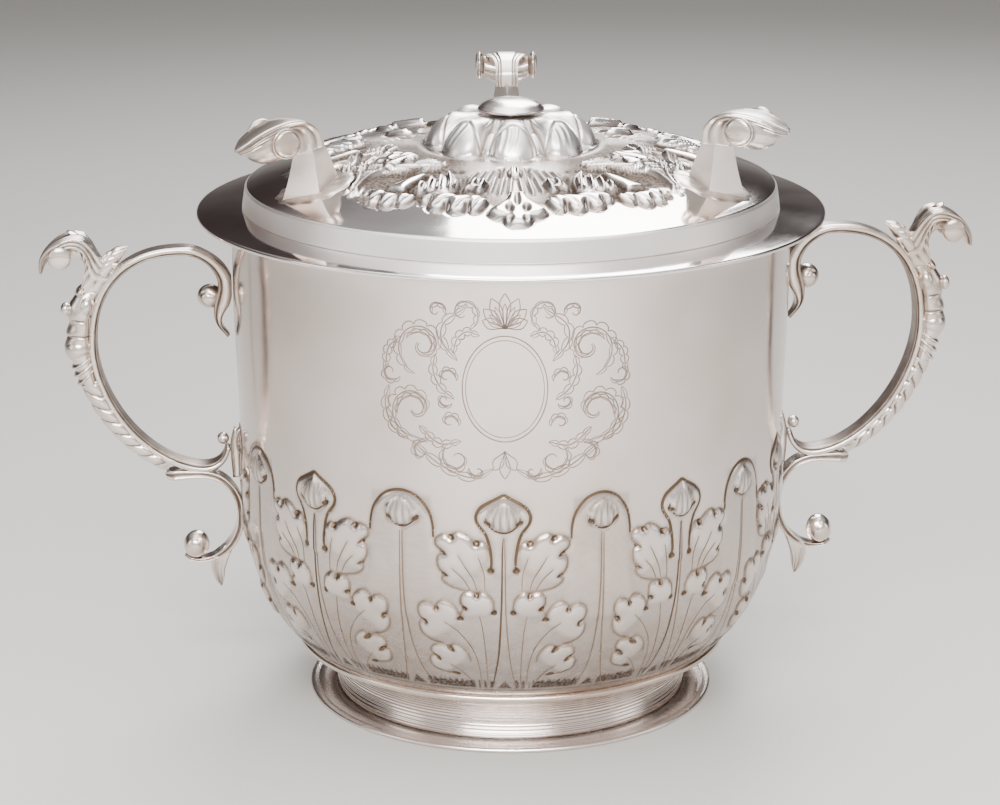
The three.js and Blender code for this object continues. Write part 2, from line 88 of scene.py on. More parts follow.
def smooth_curve(points, spacing, closed=False):
    """Points about `spacing` apart on a smooth curve through the given ones."""
    p = np.asarray(points, float)
    if closed:
        ring = np.vstack([p[-1:], p, p[:2]])
    else:
        ring = np.vstack([2 * p[0] - p[1], p, 2 * p[-1] - p[-2]])
    made = []
    for i in range(1, len(ring) - 2):
        a, b, c, d = ring[i - 1:i + 3]
        steps = max(2, int(math.ceil(np.linalg.norm(c - b) / spacing)))
        t = (np.arange(steps) / steps)[:, None]
        made.append(0.5 * (2 * b + (c - a) * t + (2 * a - 5 * b + 4 * c - d) * t ** 2
                           + (3 * b - a - 3 * c + d) * t ** 3))
    if not closed:
        made.append(p[-1:])
    return np.vstack(made)


def lengths_along(line):
    return np.concatenate([[0], np.cumsum(np.linalg.norm(np.diff(line, axis=0), axis=1))])


def points_at(line, distances):
    along = lengths_along(line)
    return np.stack([np.interp(distances, along, line[:, k]) for k in (0, 1)], 1)


def spread(line, count):
    """Evenly spaced points on a line."""
    line = np.asarray(line, float)
    return points_at(line, np.linspace(0, lengths_along(line)[-1], count))


def spread_along(line, count):
    """Evenly spaced points on a smooth curve through the given ones."""
    return spread(smooth_curve(line, 0.2), count)


def directions(line):
    """Unit vectors along a line, one at each point."""
    along = np.gradient(line, axis=0)
    return along / np.maximum(np.linalg.norm(along, axis=1), 1e-9)[:, None]


def beside(line, distance):
    """The line shifted to its left."""
    along = directions(line)
    return line + np.stack([-along[:, 1], along[:, 0]], 1) * np.reshape(distance, (-1, 1))


def smoothstep(x, low, high):
    t = np.clip((x - low) / (high - low), 0, 1)
    return t * t * (3 - 2 * t)


def bump(x, width):
    """A bell curve, 1 where x is 0."""
    return np.exp(-(x / width) ** 2)


def mirror(points):
    return [(-x, *rest) for x, *rest in points]


def both_sides(half, closed=False):
    """A line across the middle from the half of it on one side. A closed one leaves its first point out."""
    return half + mirror(half)[-2:0 if closed else None:-1]


def signed_power(values, power):
    return np.sign(values) * np.abs(values) ** power


def bearings(count):
    """Degrees evenly spaced round a full turn."""
    return np.arange(count) * 360 / count


def full_turn(count):
    """Radians evenly spaced round a full turn."""
    return np.arange(count) * 2 * np.pi / count


def grid_faces(rows, columns, wrap=True):
    """Quads of a grid of vertices, row by row, closed round the columns unless wrap is off."""
    i = np.arange(rows - 1)[:, None]
    j = np.arange(columns if wrap else columns - 1)[None, :]
    k = (j + 1) % columns
    corners = [i * columns + j, i * columns + k, (i + 1) * columns + k, (i + 1) * columns + j]
    return np.stack([np.broadcast_to(c, (i.shape[0], j.shape[1])) for c in corners], -1).reshape(-1, 4)


def fan_faces(centre, ring, inward=False):
    """Triangles from one vertex to a closed ring of vertices."""
    following = np.roll(ring, -1)
    pair = (following, ring) if inward else (ring, following)
    return np.stack([np.full(len(ring), centre), *pair], 1)


def add_piece(name, body, nodes, material, verts, faces, layers=None):
    """A mesh piece from millimetre vertices, riding on a body and standing for CAD nodes."""
    mesh = bpy.data.meshes.new(name)
    corners = np.concatenate([f.ravel() for f in faces])
    counts = np.concatenate([np.full(len(f), f.shape[1]) for f in faces])
    mesh.vertices.add(len(verts))
    low, high = np.array(cad_box[0]) + BOX_MARGIN, np.array(cad_box[1]) - BOX_MARGIN
    inside = np.clip(np.asarray(verts, float) * MM, low, high)
    mesh.vertices.foreach_set("co", inside.ravel())
    mesh.loops.add(len(corners))
    mesh.loops.foreach_set("vertex_index", corners.astype(np.int32))
    mesh.polygons.add(len(counts))
    mesh.polygons.foreach_set("loop_start", (np.cumsum(counts) - counts).astype(np.int32))
    mesh.update(calc_edges=True)
    mesh.validate()
    mesh.polygons.foreach_set("use_smooth", np.full(len(mesh.polygons), True))
    for layer, values in (layers or {}).items():
        made = mesh.attributes.new(layer, "FLOAT", "POINT")
        made.data.foreach_set("value", np.asarray(values, np.float32).ravel())
    mesh.materials.append(material)
    piece = bpy.data.objects.new(name, mesh)
    bpy.context.scene.collection.objects.link(piece)
    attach(piece, body)
    if nodes:
        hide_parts(*nodes)
    return piece


def about_axis(bearing, radius, height):
    """Points from bearings in degrees, radii and heights."""
    angle = np.radians(bearing)
    return np.stack(np.broadcast_arrays(radius * np.cos(angle), radius * np.sin(angle), height), -1)


def around(profile, columns):
    """Vertices of rings, one for each (radius, height) point."""
    profile = np.asarray(profile, float)
    return about_axis(bearings(columns), profile[:, :1], profile[:, 1:]).reshape(-1, 3)


def turned(name, body, solid, material, profile, columns, closed=False, **layers):
    """A turned piece from (radius, height) points, its faces out on the right-hand side going up. A layer is
    one value, or one for each point."""
    profile = np.asarray(profile, float)
    if closed:
        profile = np.vstack([profile, profile[:1]])
    values = {key: np.repeat(np.broadcast_to(value, len(profile)), columns) for key, value in layers.items()}
    faces = [grid_faces(len(profile), columns)]
    return add_piece(name, body, [solid], material, around(profile, columns), faces, values)


# Materials

# Sockets of a node that mixes two colours
MIX_SHARE, MIX_FIRST, MIX_SECOND, MIXED = 0, 6, 7, 2


def set_slot(tree, slot, value):
    """Gives a node's input a socket, a colour or a number."""
    if isinstance(value, tuple):
        slot.default_value = (*value, 1)
    elif isinstance(value, (int, float)):
        slot.default_value = value
    else:
        tree.links.new(value, slot)


def add_node(tree, kind, inputs, **settings):
    """Adds a shader node with values or sockets for its inputs."""
    made = tree.nodes.new("ShaderNode" + kind)
    for key, value in settings.items():
        setattr(made, key, value)
    for key, value in inputs.items():
        set_slot(tree, made.inputs[key], value)
    return made


def mixed(tree, share, first, second):
    inputs = {MIX_SHARE: share, MIX_FIRST: first, MIX_SECOND: second}
    return add_node(tree, "Mix", inputs, data_type="RGBA").outputs[MIXED]


def new_material(name):
    """A metallic material, with a function that gives the values of a noise over the object."""
    material = bpy.data.materials.new(name)
    material.use_nodes = True
    tree = material.node_tree
    shader = tree.nodes["Principled BSDF"]
    shader.inputs["Metallic"].default_value = 1.0
    where = add_node(tree, "TexCoord", {}).outputs["Object"]

    def noise(scale, detail=2.0):
        return add_node(tree, "TexNoise", {"Vector": where, "Scale": scale, "Detail": detail}).outputs["Fac"]

    return material, tree, shader, noise


FROSTED = (0.93, 0.89, 0.86)
# Brown of tarnish in hollows and lines, also used for painted shade and painted reflection
STAIN_AND_SHADE = (0.10, 0.062, 0.04)
DARK_GROUND = (0.06, 0.04, 0.027)


def silver(name, tone=(0.70, 0.628, 0.592), tarnish=(0.57, 0.46, 0.39), rough=0.12, hammer=0.02):
    """Silver with a cloudy tarnish, fine wear and, where the layers say so, matting, frosting, and a brown
    tarnish that also carries painted shade and painted reflection.
    """
    material, tree, shader, noise = new_material(name)

    def ramp(source, low, high, floor=0.0, top=1.0):
        inputs = {"Value": source, "From Min": low, "From Max": high, "To Min": floor, "To Max": top}
        return add_node(tree, "MapRange", inputs).outputs["Result"]

    def clamped(operation, first, second):
        made = add_node(tree, "Math", {0: first, 1: second}, operation=operation, use_clamp=True)
        return made.outputs["Value"]

    def times(first, second):
        return clamped("MULTIPLY", first, second)

    def plus(first, second):
        return clamped("ADD", first, second)

    def layer(key):
        return add_node(tree, "Attribute", {}, attribute_name=key).outputs["Fac"]

    frost, patina, ground = layer("frost"), layer("patina"), layer("ground")
    matted = noise(1500.0, 1.0)
    colour = mixed(tree, times(ramp(noise(22.0, 4.0), 0.42, 0.72), 0.7), tone, tarnish)
    colour = mixed(tree, times(frost, 0.4), colour, FROSTED)
    # Brown tarnish, with painted shade and painted reflection where the layer holds them
    colour = mixed(tree, times(patina, ramp(noise(260.0, 3.0), 0.2, 0.6, 0.7, 1.0)), colour, STAIN_AND_SHADE)
    colour = mixed(tree, times(ground, ramp(matted, 0.35, 0.62, 0.55, 1.0)), colour, DARK_GROUND)
    set_slot(tree, shader.inputs["Base Color"], colour)
    gloss = ramp(noise(60.0, 3.0), 0.3, 0.8, rough, rough + 0.07)
    for dulling, amount in ((frost, 0.22), (patina, 0.25), (ground, 0.4)):
        gloss = plus(gloss, times(dulling, amount))
    set_slot(tree, shader.inputs["Roughness"], gloss)
    beaten = times(noise(150.0, 1.0), hammer * 20)
    grain = times(noise(900.0, 2.0), plus(times(frost, 0.5), 0.06))
    pitted = times(matted, times(ground, 3.0))
    height = plus(plus(beaten, grain), pitted)
    relief = add_node(tree, "Bump", {"Strength": 0.35, "Distance": 0.00012, "Height": height})
    set_slot(tree, shader.inputs["Normal"], relief.outputs["Normal"])
    return material


def chased_line(name, tone, rough):
    """The dulled silver in a chased or engraved line."""
    material, tree, shader, noise = new_material(name)
    pale = tuple(min(1.0, c * 1.9) for c in tone)
    set_slot(tree, shader.inputs["Base Color"], mixed(tree, noise(320.0), tone, pale))
    shader.inputs["Roughness"].default_value = rough
    return material


# This silver is the cover's in a darker tone: painted shade that dims the bowl's wall and the other pieces
# made with it
shaded_plate = silver("silver_plate_shaded")
cover_plate = silver("silver_cover", tone=(0.90, 0.85, 0.835), tarnish=(0.74, 0.63, 0.56), rough=0.07)
matt_plate = silver("silver_matt", tone=(0.92, 0.88, 0.865), tarnish=(0.80, 0.72, 0.66), rough=0.22)
cast = silver("silver_cast", tone=(0.80, 0.725, 0.67), tarnish=(0.50, 0.37, 0.28), rough=0.16, hammer=0.05)
worn_wire = silver("silver_wire", tone=(0.66, 0.57, 0.50), tarnish=(0.35, 0.24, 0.17), rough=0.22)
groove = chased_line("silver_chased_line", (0.085, 0.056, 0.035), 0.45)
fine_groove = chased_line("silver_fine_line", (0.19, 0.135, 0.095), 0.42)
engraved = chased_line("silver_engraved_line", (0.21, 0.16, 0.135), 0.4)


# Outline of the bowl's outer side, with the distance along it from the edge of the flat bottom

def bowl_outline():
    half = BOWL_RADIUS - FLAT_RADIUS
    angle = np.radians(np.linspace(270, 360, 240))
    across = np.abs(np.cos(angle)) ** (2 / TURN_POWER)
    down = np.abs(np.sin(angle)) ** (2 / TURN_POWER)
    turn = np.stack([FLAT_RADIUS + half * across, UNDER_HEIGHT + TURN_HEIGHT * (1 - down)], 1)
    wall = smooth_curve([turn[-1], (77.9, 87), (78.45, 105), (78.8, 116), (78.8, 130), (78.85, 138),
                         (LIP_RADIUS, RIM_HEIGHT)], 1.0)
    line = np.vstack([turn, wall[1:]])
    length = lengths_along(line)[-1]
    even = np.append(np.arange(0, length, 0.25), length)
    line = points_at(line, even)
    direction = directions(line)
    return even, line, np.stack([direction[:, 1], -direction[:, 0]], 1)


bowl_along, bowl_line, bowl_normal = bowl_outline()
bowl_length = bowl_along[-1]


def on_bowl(bearing, along, lift):
    """Points of the bowl's outer side, raised by `lift` along its normal."""
    columns = (*bowl_line.T, *bowl_normal.T)
    radius, height, out, up = (np.interp(along, bowl_along, column) for column in columns)
    return about_axis(bearing, radius + out * lift, height + up * lift)


def bowl_arc(along):
    """Millimetres round the bowl for each degree of bearing."""
    return np.radians(np.interp(along, bowl_along, bowl_line[:, 0]))


# Chasing round the lower bowl. Offsets are degrees from the middle of a leaf or tongue and millimetres along
# the outline. Every second division is a leaf, with a tongue half-way to the next.
DIVISION = 20
HOOD = both_sides([
    (2.5, 58.9), (2.35, 61.5), (2.7, 65.5), (3.5, 69), (5.0, 71.8), (5.3, 74), (4.5, 76.2), (2.9, 77.7),
    (1.4, 78.8), (0, 79.8),
])
LEAF_BUD = [
    (-3.4, 73.6), (-3.2, 72.0), (-2.1, 70.4), (-0.8, 69.6), (0.8, 69.6), (2.1, 70.6), (3.1, 72.0),
    (3.2, 73.6),
]
BUD_CREASES = [
    [(-1.9, 71.2), (-1.9, 73.6), (-1.1, 76.4)],
    [(-0.5, 70.4), (-0.7, 73.4), (-0.3, 77.0)],
    [(1.0, 70.6), (0.8, 73.6), (0.5, 76.8)],
    [(2.2, 71.4), (2.2, 73.6), (1.5, 76.0)],
]
BUD_TOP = both_sides([(2.8, 75.2), (1.6, 76.8), (0, 77.9)])
UPPER_LOBE = [
    (2.7, 64), (3.3, 65.9), (4.3, 67), (5.2, 66.4), (5.9, 67.2), (7, 68.3), (8.5, 69.1), (9.7, 68.7),
    (10.1, 67.6), (10.9, 68.4), (12.2, 68.1), (13.1, 66.9), (13.0, 65.3), (12.1, 64.1), (11.6, 63.2),
    (12.5, 62.5), (12.8, 60.7), (12.3, 58.6), (11.4, 57.2), (11.9, 56.2), (11.4, 55.0), (10, 53.7),
    (7.6, 52.9), (5.3, 52.4),
]
MIDDLE_LOBE = [
    (1.9, 46.6), (1.9, 49), (2.4, 51), (3.6, 52.4), (4.7, 52.5), (5.2, 51.7), (6.0, 52.4), (7.6, 52.3),
    (8.3, 50.8), (8.3, 48.8), (7.7, 47.6), (8.3, 46.4), (8.5, 44.6),
]
LOW_LOBE = [
    (8.6, 45.3), (9.2, 47.6), (10.5, 49.2), (12.1, 49.6), (13.1, 48.4), (13.1, 47.3), (14, 48.6),
    (15.5, 49), (16.7, 47.6), (16.8, 45.4), (16.2, 43.5), (15.6, 42.6), (16.7, 42.6), (16.8, 40.6),
    (16.2, 38.6), (14.6, 36.8), (12.6, 35.9),
]
FOOT_LOBE = [
    (6.9, 30), (7.4, 33), (8.7, 35.3), (10.2, 36.1), (11.0, 34.6), (12.3, 35.6), (14.3, 35.2), (15.1, 33),
    (13.9, 31.0), (15.3, 31.0), (15.6, 29), (15.0, 27), (13.2, 25.5), (11.8, 24.9), (10.5, 24.7),
]
# Each lobe with the point that closes it, the point it grows from and the point where it is fully raised
LOBES = [
    (UPPER_LOBE, (4.6, 55), (5.5, 54), (8.6, 62)),
    (MIDDLE_LOBE, (5.5, 42), (5.4, 43), (5.2, 49)),
    (LOW_LOBE, (9.5, 38), (9.5, 38.5), (12.6, 44)),
    (FOOT_LOBE, (8.2, 26), (8.3, 26.5), (11.8, 31)),
]
LEAF_VEINS = [
    [(3.6, 52.6), (3.7, 57), (4.2, 60), (4.8, 62.6)],
    [(5.2, 52.9), (5.8, 56), (7, 59), (8.6, 62.8)],
    [(6.4, 52.9), (7.8, 56.3), (9.8, 59.2)],
    [(3.7, 19.6), (3.65, 27), (3.75, 33), (4.1, 40), (4.7, 45.4)],
    [(5.1, 19.8), (5.2, 27), (6.0, 33), (7.4, 37), (9.4, 40.6), (11.6, 43.4)],
    [(6.4, 18.2), (7.4, 22), (9, 25.6), (11.2, 29)],
]
# Oval punched pits: offset, distance, half length, half width, and the tilt of the long side in degrees
LEAF_PITS = [
    (2.5, 58.7, 0.95, 0.8, 0), (5.2, 66.3, 0.95, 0.8, 20), (10.0, 67.8, 0.95, 0.7, 25),
    (11.6, 63.3, 1.1, 0.45, 30), (11.3, 57.2, 1.1, 0.4, 25), (5.2, 51.5, 0.7, 0.7, 60),
    (1.9, 46.4, 0.8, 0.75, 0), (7.6, 47.6, 0.85, 0.6, 25), (8.5, 44.2, 0.95, 0.6, 15),
    (13.1, 47.2, 0.75, 0.65, 60), (15.6, 42.6, 0.9, 0.6, 60), (10.8, 34.4, 1.2, 0.65, 30),
    (13.8, 31.0, 1.2, 0.6, 35), (10.4, 24.6, 1.2, 0.55, 8), (3.1, 72.1, 1.1, 0.55, 25),
]
STEM_LINES = [
    [
        (-0.1, 68), (-0.28, 64), (-0.34, 56), (-0.48, 48), (-0.75, 40), (-1.1, 33), (-1.7, 27), (-2.5, 21),
        (-2.9, 18.2),
    ],
    [(0.12, 68), (0.26, 60), (0.32, 50), (0.5, 43), (1.0, 34), (1.6, 27), (2.3, 21.6), (3.0, 18.2)],
]
TONGUE_ARCH = both_sides([(6.5, 67.4), (6.35, 71), (5.5, 74.8), (3.3, 78.3), (0, 79.7)])
TONGUE_BUD = [(-3.2, 73.4), (-2.5, 71.7), (-1.2, 70.2), (0.2, 69.6), (1.5, 70.2), (2.7, 71.6), (3.4, 73.2)]
TONGUE_STEM = [
    [
        (-0.25, 68.5), (-0.28, 60), (-0.35, 50), (-0.6, 40), (-1.0, 32), (-1.7, 25.6), (-2.7, 20.4),
        (-3.4, 18),
    ],
    [(0.25, 68.5), (0.3, 58), (0.42, 48), (0.8, 39), (1.35, 32), (2.2, 26), (3.5, 20.4), (4.3, 18)],
]
TONGUE_PITS = [(-2.5, 71.8, 0.95, 0.6, -30), (3.0, 72.2, 1.05, 0.6, 38), (0.3, 69.8, 0.9, 0.4, 4)]
LEAF_BEARINGS = [-138.8, -97.0, -59.5]
TONGUE_BEARINGS = [-159.5, -117.8, -77.3, -41.0]


def division_bearings():
    """Bearings of tongues and leaves in turn. The ones in front are uneven, as by hand."""
    known = sorted(LEAF_BEARINGS + TONGUE_BEARINGS)
    missing = 360 // DIVISION - len(known)
    rest = np.linspace(known[-1], known[0] + 360, missing + 2)[1:]
    return np.concatenate([known, rest])


divisions = division_bearings()


def motif_place(bearing):
    """The offset from the nearest leaf's middle, at most one division, with tongues at either end."""
    turn = (np.asarray(bearing) - divisions[0]) % 360 + divisions[0]
    share = np.interp(turn, divisions, np.arange(len(divisions)) * float(DIVISION))
    return (share % (2 * DIVISION)) - DIVISION


class Relief:
    """A patch of chased pattern. Its points are offsets in degrees and millimetres along an outline."""

    def __init__(self, reach, low, high, step, rise, arc_at):
        self.x = np.arange(-reach, reach + step / 2, step)
        self.s = np.arange(low, high + rise / 2, rise)
        self.step, self.rise, self.arc_at = step, rise, arc_at
        self.grid_s, self.grid_x = np.meshgrid(self.s, self.x, indexing="ij")
        self.arc = arc_at(self.grid_s)
        self.layers = {key: np.zeros(self.grid_s.shape) for key in ("relief", "patina", "frost", "ground")}

    def in_mm(self, points):
        points = np.asarray(points, float)
        return np.stack([points[:, 0] * self.arc_at(points[:, 1]), points[:, 1]], 1)

    def near(self, line, centre, margin):
        x, s = (self.grid_x - centre) * self.arc, self.grid_s
        low, high = line.min(0) - margin, line.max(0) + margin
        mask = (x > low[0]) & (x < high[0]) & (s > low[1]) & (s < high[1])
        return mask, x[mask], s[mask]

    def swell(self, outline, centre, height, edge, grown=None, frost=0.0):
        """Raises the inside of an outline like a pillow, fading in between two points if they are given."""
        line = self.in_mm(smooth_curve(outline, 1.0, closed=True))
        mask, x, s = self.near(line, centre, 0.5)
        t = np.clip(depth_in(line, x, s) / edge, 0, 1)
        share = np.sqrt(1 - (1 - t) ** 2)
        if grown:
            root, full = self.in_mm(grown)
            d = full - root
            share = share * smoothstep(((x - root[0]) * d[0] + (s - root[1]) * d[1]) / (d @ d), 0, 1)
        relief, frosted = self.layers["relief"], self.layers["frost"]
        relief[mask] = np.maximum(relief[mask], 0) + height * share
        frosted[mask] = np.maximum(frosted[mask], frost * share)

    def cut(self, line, centre, depth, width, darkening):
        """Presses a chased line in and darkens it; a depth below zero raises a ridge."""
        line = self.in_mm(smooth_curve(line, 1.0))
        mask, x, s = self.near(line, centre, 3 * width)
        share = bump(gap_to(line, x, s), width)
        self.layers["relief"][mask] -= depth * share
        self.layers["patina"][mask] = np.maximum(self.layers["patina"][mask], darkening * share)

    def punch(self, pit, centre, side, depth=0.55):
        """Presses in an oval pit, on the side given as 1 or -1, and darkens it."""
        offset, along, half_long, half_wide, tilt = pit
        spot = self.in_mm([(offset * side, along)])[0]
        mask, x, s = self.near(spot[None], centre, 4)
        turn = math.radians(tilt) * side
        u = (x - spot[0]) * math.cos(turn) + (s - spot[1]) * math.sin(turn)
        v = (s - spot[1]) * math.cos(turn) - (x - spot[0]) * math.sin(turn)
        share = np.exp(-((u / half_long) ** 2 + (v / half_wide) ** 2) * 0.9)
        self.layers["relief"][mask] -= depth * share
        self.layers["patina"][mask] = np.maximum(self.layers["patina"][mask], np.minimum(0.95, 1.7 * share))

    def sample(self, key, offset, along):
        """A layer's values at the given places, and 0 above and below the patch."""
        u = (np.asarray(offset) - self.x[0]) / self.step
        v = (np.asarray(along) - self.s[0]) / self.rise
        inside = (v >= 0) & (v <= len(self.s) - 1)
        return np.where(inside, read_grid(self.layers[key], v, u), 0)


def gap_to(line, x, s):
    """Distance of each place from a line."""
    best = np.full(x.shape, 1e9)
    for a, b in zip(line[:-1], line[1:]):
        d = b - a
        t = np.clip(((x - a[0]) * d[0] + (s - a[1]) * d[1]) / max(d @ d, 1e-9), 0, 1)
        best = np.minimum(best, (x - a[0] - t * d[0]) ** 2 + (s - a[1] - t * d[1]) ** 2)
    return np.sqrt(best)


def depth_in(outline, x, s):
    """Distance inside a closed outline, below zero outside it."""
    inside = np.zeros(x.shape, bool)
    for a, b in zip(outline, np.roll(outline, -1, 0)):
        if a[1] == b[1]:
            continue
        cross = a[0] + (s - a[1]) * (b[0] - a[0]) / (b[1] - a[1])
        inside ^= ((a[1] > s) != (b[1] > s)) & (x < cross)
    gap = gap_to(np.vstack([outline, outline[:1]]), x, s)
    return np.where(inside, gap, -gap)


def read_grid(values, v, u, wrap=False):
    """Bilinear reading of a grid at row v and column u."""
    rows, columns = values.shape
    v = np.clip(v, 0, rows - 1.001)
    u = np.asarray(u, float) % columns if wrap else np.clip(u, 0, columns - 1.001)
    i, j = v.astype(int), u.astype(int)
    k = (j + 1) % columns
    fv, fu = v - i, u - j
    low = values[i, j] * (1 - fu) + values[i, k] * fu
    high = values[i + 1, j] * (1 - fu) + values[i + 1, k] * fu
    return low * (1 - fv) + high * fv


band = Relief(DIVISION, 13, 82, 0.08, 0.3, bowl_arc)


def chase_bud(centre, bud, height, edge, arch):
    """The creased bud at the top of a leaf or tongue, under its hood or arch."""
    band.swell(bud + BUD_TOP, centre, height, edge, frost=0.7)
    for crease in BUD_CREASES:
        band.cut(crease, centre, 0.3, 0.45, 0.75)
    band.cut(arch, centre, 0.3, 0.7, 0.6)
    band.cut(bud, centre, 0.25, 0.6, 0.5)


def chase_leaf(centre):
    band.swell(HOOD + [(-1.2, 57), (1.2, 57)], centre, 0.35, 1.2)
    chase_bud(centre, LEAF_BUD, 1.1, 3.6, HOOD)
    for line in STEM_LINES:
        band.cut(line, centre, 0.2, 0.55, 0.45)
    for side, flip in ((1, list), (-1, mirror)):
        for outline, closing, root, full in LOBES:
            band.swell(flip([*outline, closing]), centre, 0.78, 2.4, flip([root, full]), frost=0.3)
        for outline, *_ in LOBES:
            band.cut(flip(outline), centre, 0.16, 0.6, 0.8)
        for line in LEAF_VEINS:
            band.cut(flip(line), centre, 0.12, 0.6, 0.22)
        for pit in LEAF_PITS:
            band.punch(pit, centre, side)


def chase_tongue(centre):
    band.swell(TONGUE_ARCH + [(-6.6, 60), (-6.6, 45), (6.6, 45), (6.6, 60)], centre, 0.3, 1.4)
    chase_bud(centre, TONGUE_BUD, 1.2, 3.8, TONGUE_ARCH)
    for line in TONGUE_STEM:
        band.cut(line, centre, 0.2, 0.55, 0.4)
    for pit in TONGUE_PITS:
        band.punch(pit, centre, 1)


for middle in (-DIVISION, DIVISION):
    chase_tongue(middle)
chase_leaf(0)


def finish_band():
    """Adds the dark ground between the stems, the border's line and the light matting to the band."""
    x, along, layers = band.grid_x, band.grid_s, band.layers
    ragged = np.sin(x * 5.1) + 0.7 * np.sin(x * 11.3 + 1) + 0.5 * np.sin(x * 23.7 + 2)
    off_stem = np.minimum(np.abs(x), DIVISION - np.abs(x))
    bare_stem = smoothstep(off_stem - 2.4 + (along - 18) * 0.14, 0, 0.5)
    fork = smoothstep(1.9 - off_stem - (along - 17.6) * 0.42, -0.1, 0.25)
    hollow = smoothstep(21.6 + 0.55 * ragged - along, -0.6, 0.6) * smoothstep(along, 17.4, 17.8)
    layers["ground"] = hollow * np.maximum(bare_stem, fork)
    for rib in (3.65, 5.1, 6.2):
        layers["ground"] *= smoothstep(np.abs(np.abs(x) - rib) * band.arc, 0.25, 0.6)
    layers["relief"] -= 0.35 * layers["ground"]
    border = 0.95 * bump(along - 16.9, 0.55)
    arched = np.zeros(x.shape)
    for centre, top, half in ((-DIVISION, 79.4, 6.3), (0, 77.4, 3.6), (DIVISION, 79.4, 6.3)):
        inside = smoothstep(half - np.abs(x - centre), 0, 0.4) * smoothstep(top - along, 0, 1.2)
        arched = np.maximum(arched, inside)
    matting = np.maximum(smoothstep(66 - along, 0, 4), arched) * smoothstep(0.5 - layers["relief"], 0, 0.3)
    speckled = np.sin(x * 19.0 + 2 * np.sin(along * 1.7)) * np.sin(along * 5.3 + 1.5 * np.sin(x * 3.1))
    speckled = 0.5 + 0.5 * speckled
    layers["relief"] -= 0.05 * matting * speckled
    # Darker towards the bottom of the band, and darker on the matting
    low_and_matting_darkening = 0.22 * smoothstep(54 - along, 0, 30) + matting * (0.2 + 0.2 * speckled)
    layers["patina"] = np.maximum(np.maximum(layers["patina"], border), low_and_matting_darkening)
    layers["relief"] *= smoothstep(along, 14, 17)


finish_band()


# Chased band, plain wall, inside and underside of the bowl
BAND_TOP = 81.7
BAND_BOTTOM = 13.4
band_s = np.linspace(BAND_BOTTOM, BAND_TOP, 117)
band_b, band_a = np.meshgrid(bearings(BAND_COLUMNS), band_s)
band_layers = {key: band.sample(key, motif_place(band_b), band_a) for key in band.layers}
band_relief = band_layers.pop("relief")
add_piece("cup_bowl_chased_band", "cup", ["cup_bowl"], shaded_plate,
          on_bowl(band_b, band_a, band_relief).reshape(-1, 3), [grid_faces(len(band_s), BAND_COLUMNS)],
          band_layers)


def band_lift(bearing, along):
    """Height of the band's mesh, as built, above the plain outline."""
    u = (np.asarray(bearing) % 360) / 360 * BAND_COLUMNS
    v = (np.asarray(along) - BAND_BOTTOM) / (BAND_TOP - BAND_BOTTOM) * (len(band_s) - 1)
    inside = (v >= 0) & (v <= len(band_s) - 1)
    return np.where(inside, read_grid(band_relief, v, u, wrap=True), 0)


def bowl_rings(distances, columns, lift=0.0):
    """Rings of vertices on the plain outline of the bowl, raised by `lift` along its normal."""
    bearing, along = np.meshgrid(bearings(columns), distances)
    return on_bowl(bearing, along, lift + 0 * along).reshape(-1, 3)


# Painted reflection of the handles, as soft dark streaks on the wall behind them: bearing, half width in
# degrees, and strength
WALL_PAINTED_REFLECTIONS = [(-180.0, 5.0, 0.7), (-160.5, 1.0, 0.3), (0.0, 5.0, 0.7)]
# The rounded lip, as distances in from the outer radius and down from the rim
LIP = [(0.12, 0.06), (0.5, 0.0), (1.1, 0.05), (1.3, 0.3), (1.45, 1.4)]
wall_s = np.concatenate([[BAND_TOP], np.arange(84, 137.5, 3), [138, 139, bowl_length - 0.3]])
wall_b, wall_a = np.meshgrid(bearings(WALL_COLUMNS), wall_s)
# Dark streaks of painted reflection, faded out towards the rim and the band
painted_reflection = np.zeros(wall_b.shape)
for bearing, half, depth in WALL_PAINTED_REFLECTIONS:
    apart = (wall_b - bearing + 180) % 360 - 180
    painted_reflection = np.maximum(painted_reflection, depth * bump(apart, half))
painted_reflection = painted_reflection * smoothstep(bowl_length - wall_a, 2, 10) * smoothstep(wall_a, BAND_TOP + 2, BAND_TOP + 22)
painted_reflection = np.concatenate([painted_reflection.ravel(), np.zeros(len(LIP) * WALL_COLUMNS)])
lip = around(np.array([LIP_RADIUS, RIM_HEIGHT]) - LIP, WALL_COLUMNS)
add_piece("cup_bowl_wall", "cup", ["cup_bowl"], shaded_plate, np.vstack([bowl_rings(wall_s, WALL_COLUMNS), lip]),
          [grid_faces(len(wall_s) + len(LIP), WALL_COLUMNS)], {"patina": painted_reflection})

# The flat bottom is two rings and a point, inside and out
WIDE_RING, NARROW_RING = 35, 15
FLOOR_HEIGHT = UNDER_HEIGHT + BOWL_WALL
inner_s = np.concatenate([np.arange(0, 140, 5.0), [bowl_length - 1.2]])[::-1]
floor_rings = around([(WIDE_RING, FLOOR_HEIGHT), (NARROW_RING, FLOOR_HEIGHT)], INSIDE_COLUMNS)
inside = np.vstack([bowl_rings(inner_s, INSIDE_COLUMNS, -BOWL_WALL), floor_rings, [[0, 0, FLOOR_HEIGHT]]])
first = np.arange(INSIDE_COLUMNS)
last = first + len(inside) - 1 - INSIDE_COLUMNS
add_piece("cup_bowl_inside", "cup", ["cup_bowl"], cover_plate, inside,
          [grid_faces(len(inner_s) + 2, INSIDE_COLUMNS), fan_faces(len(inside) - 1, last)])

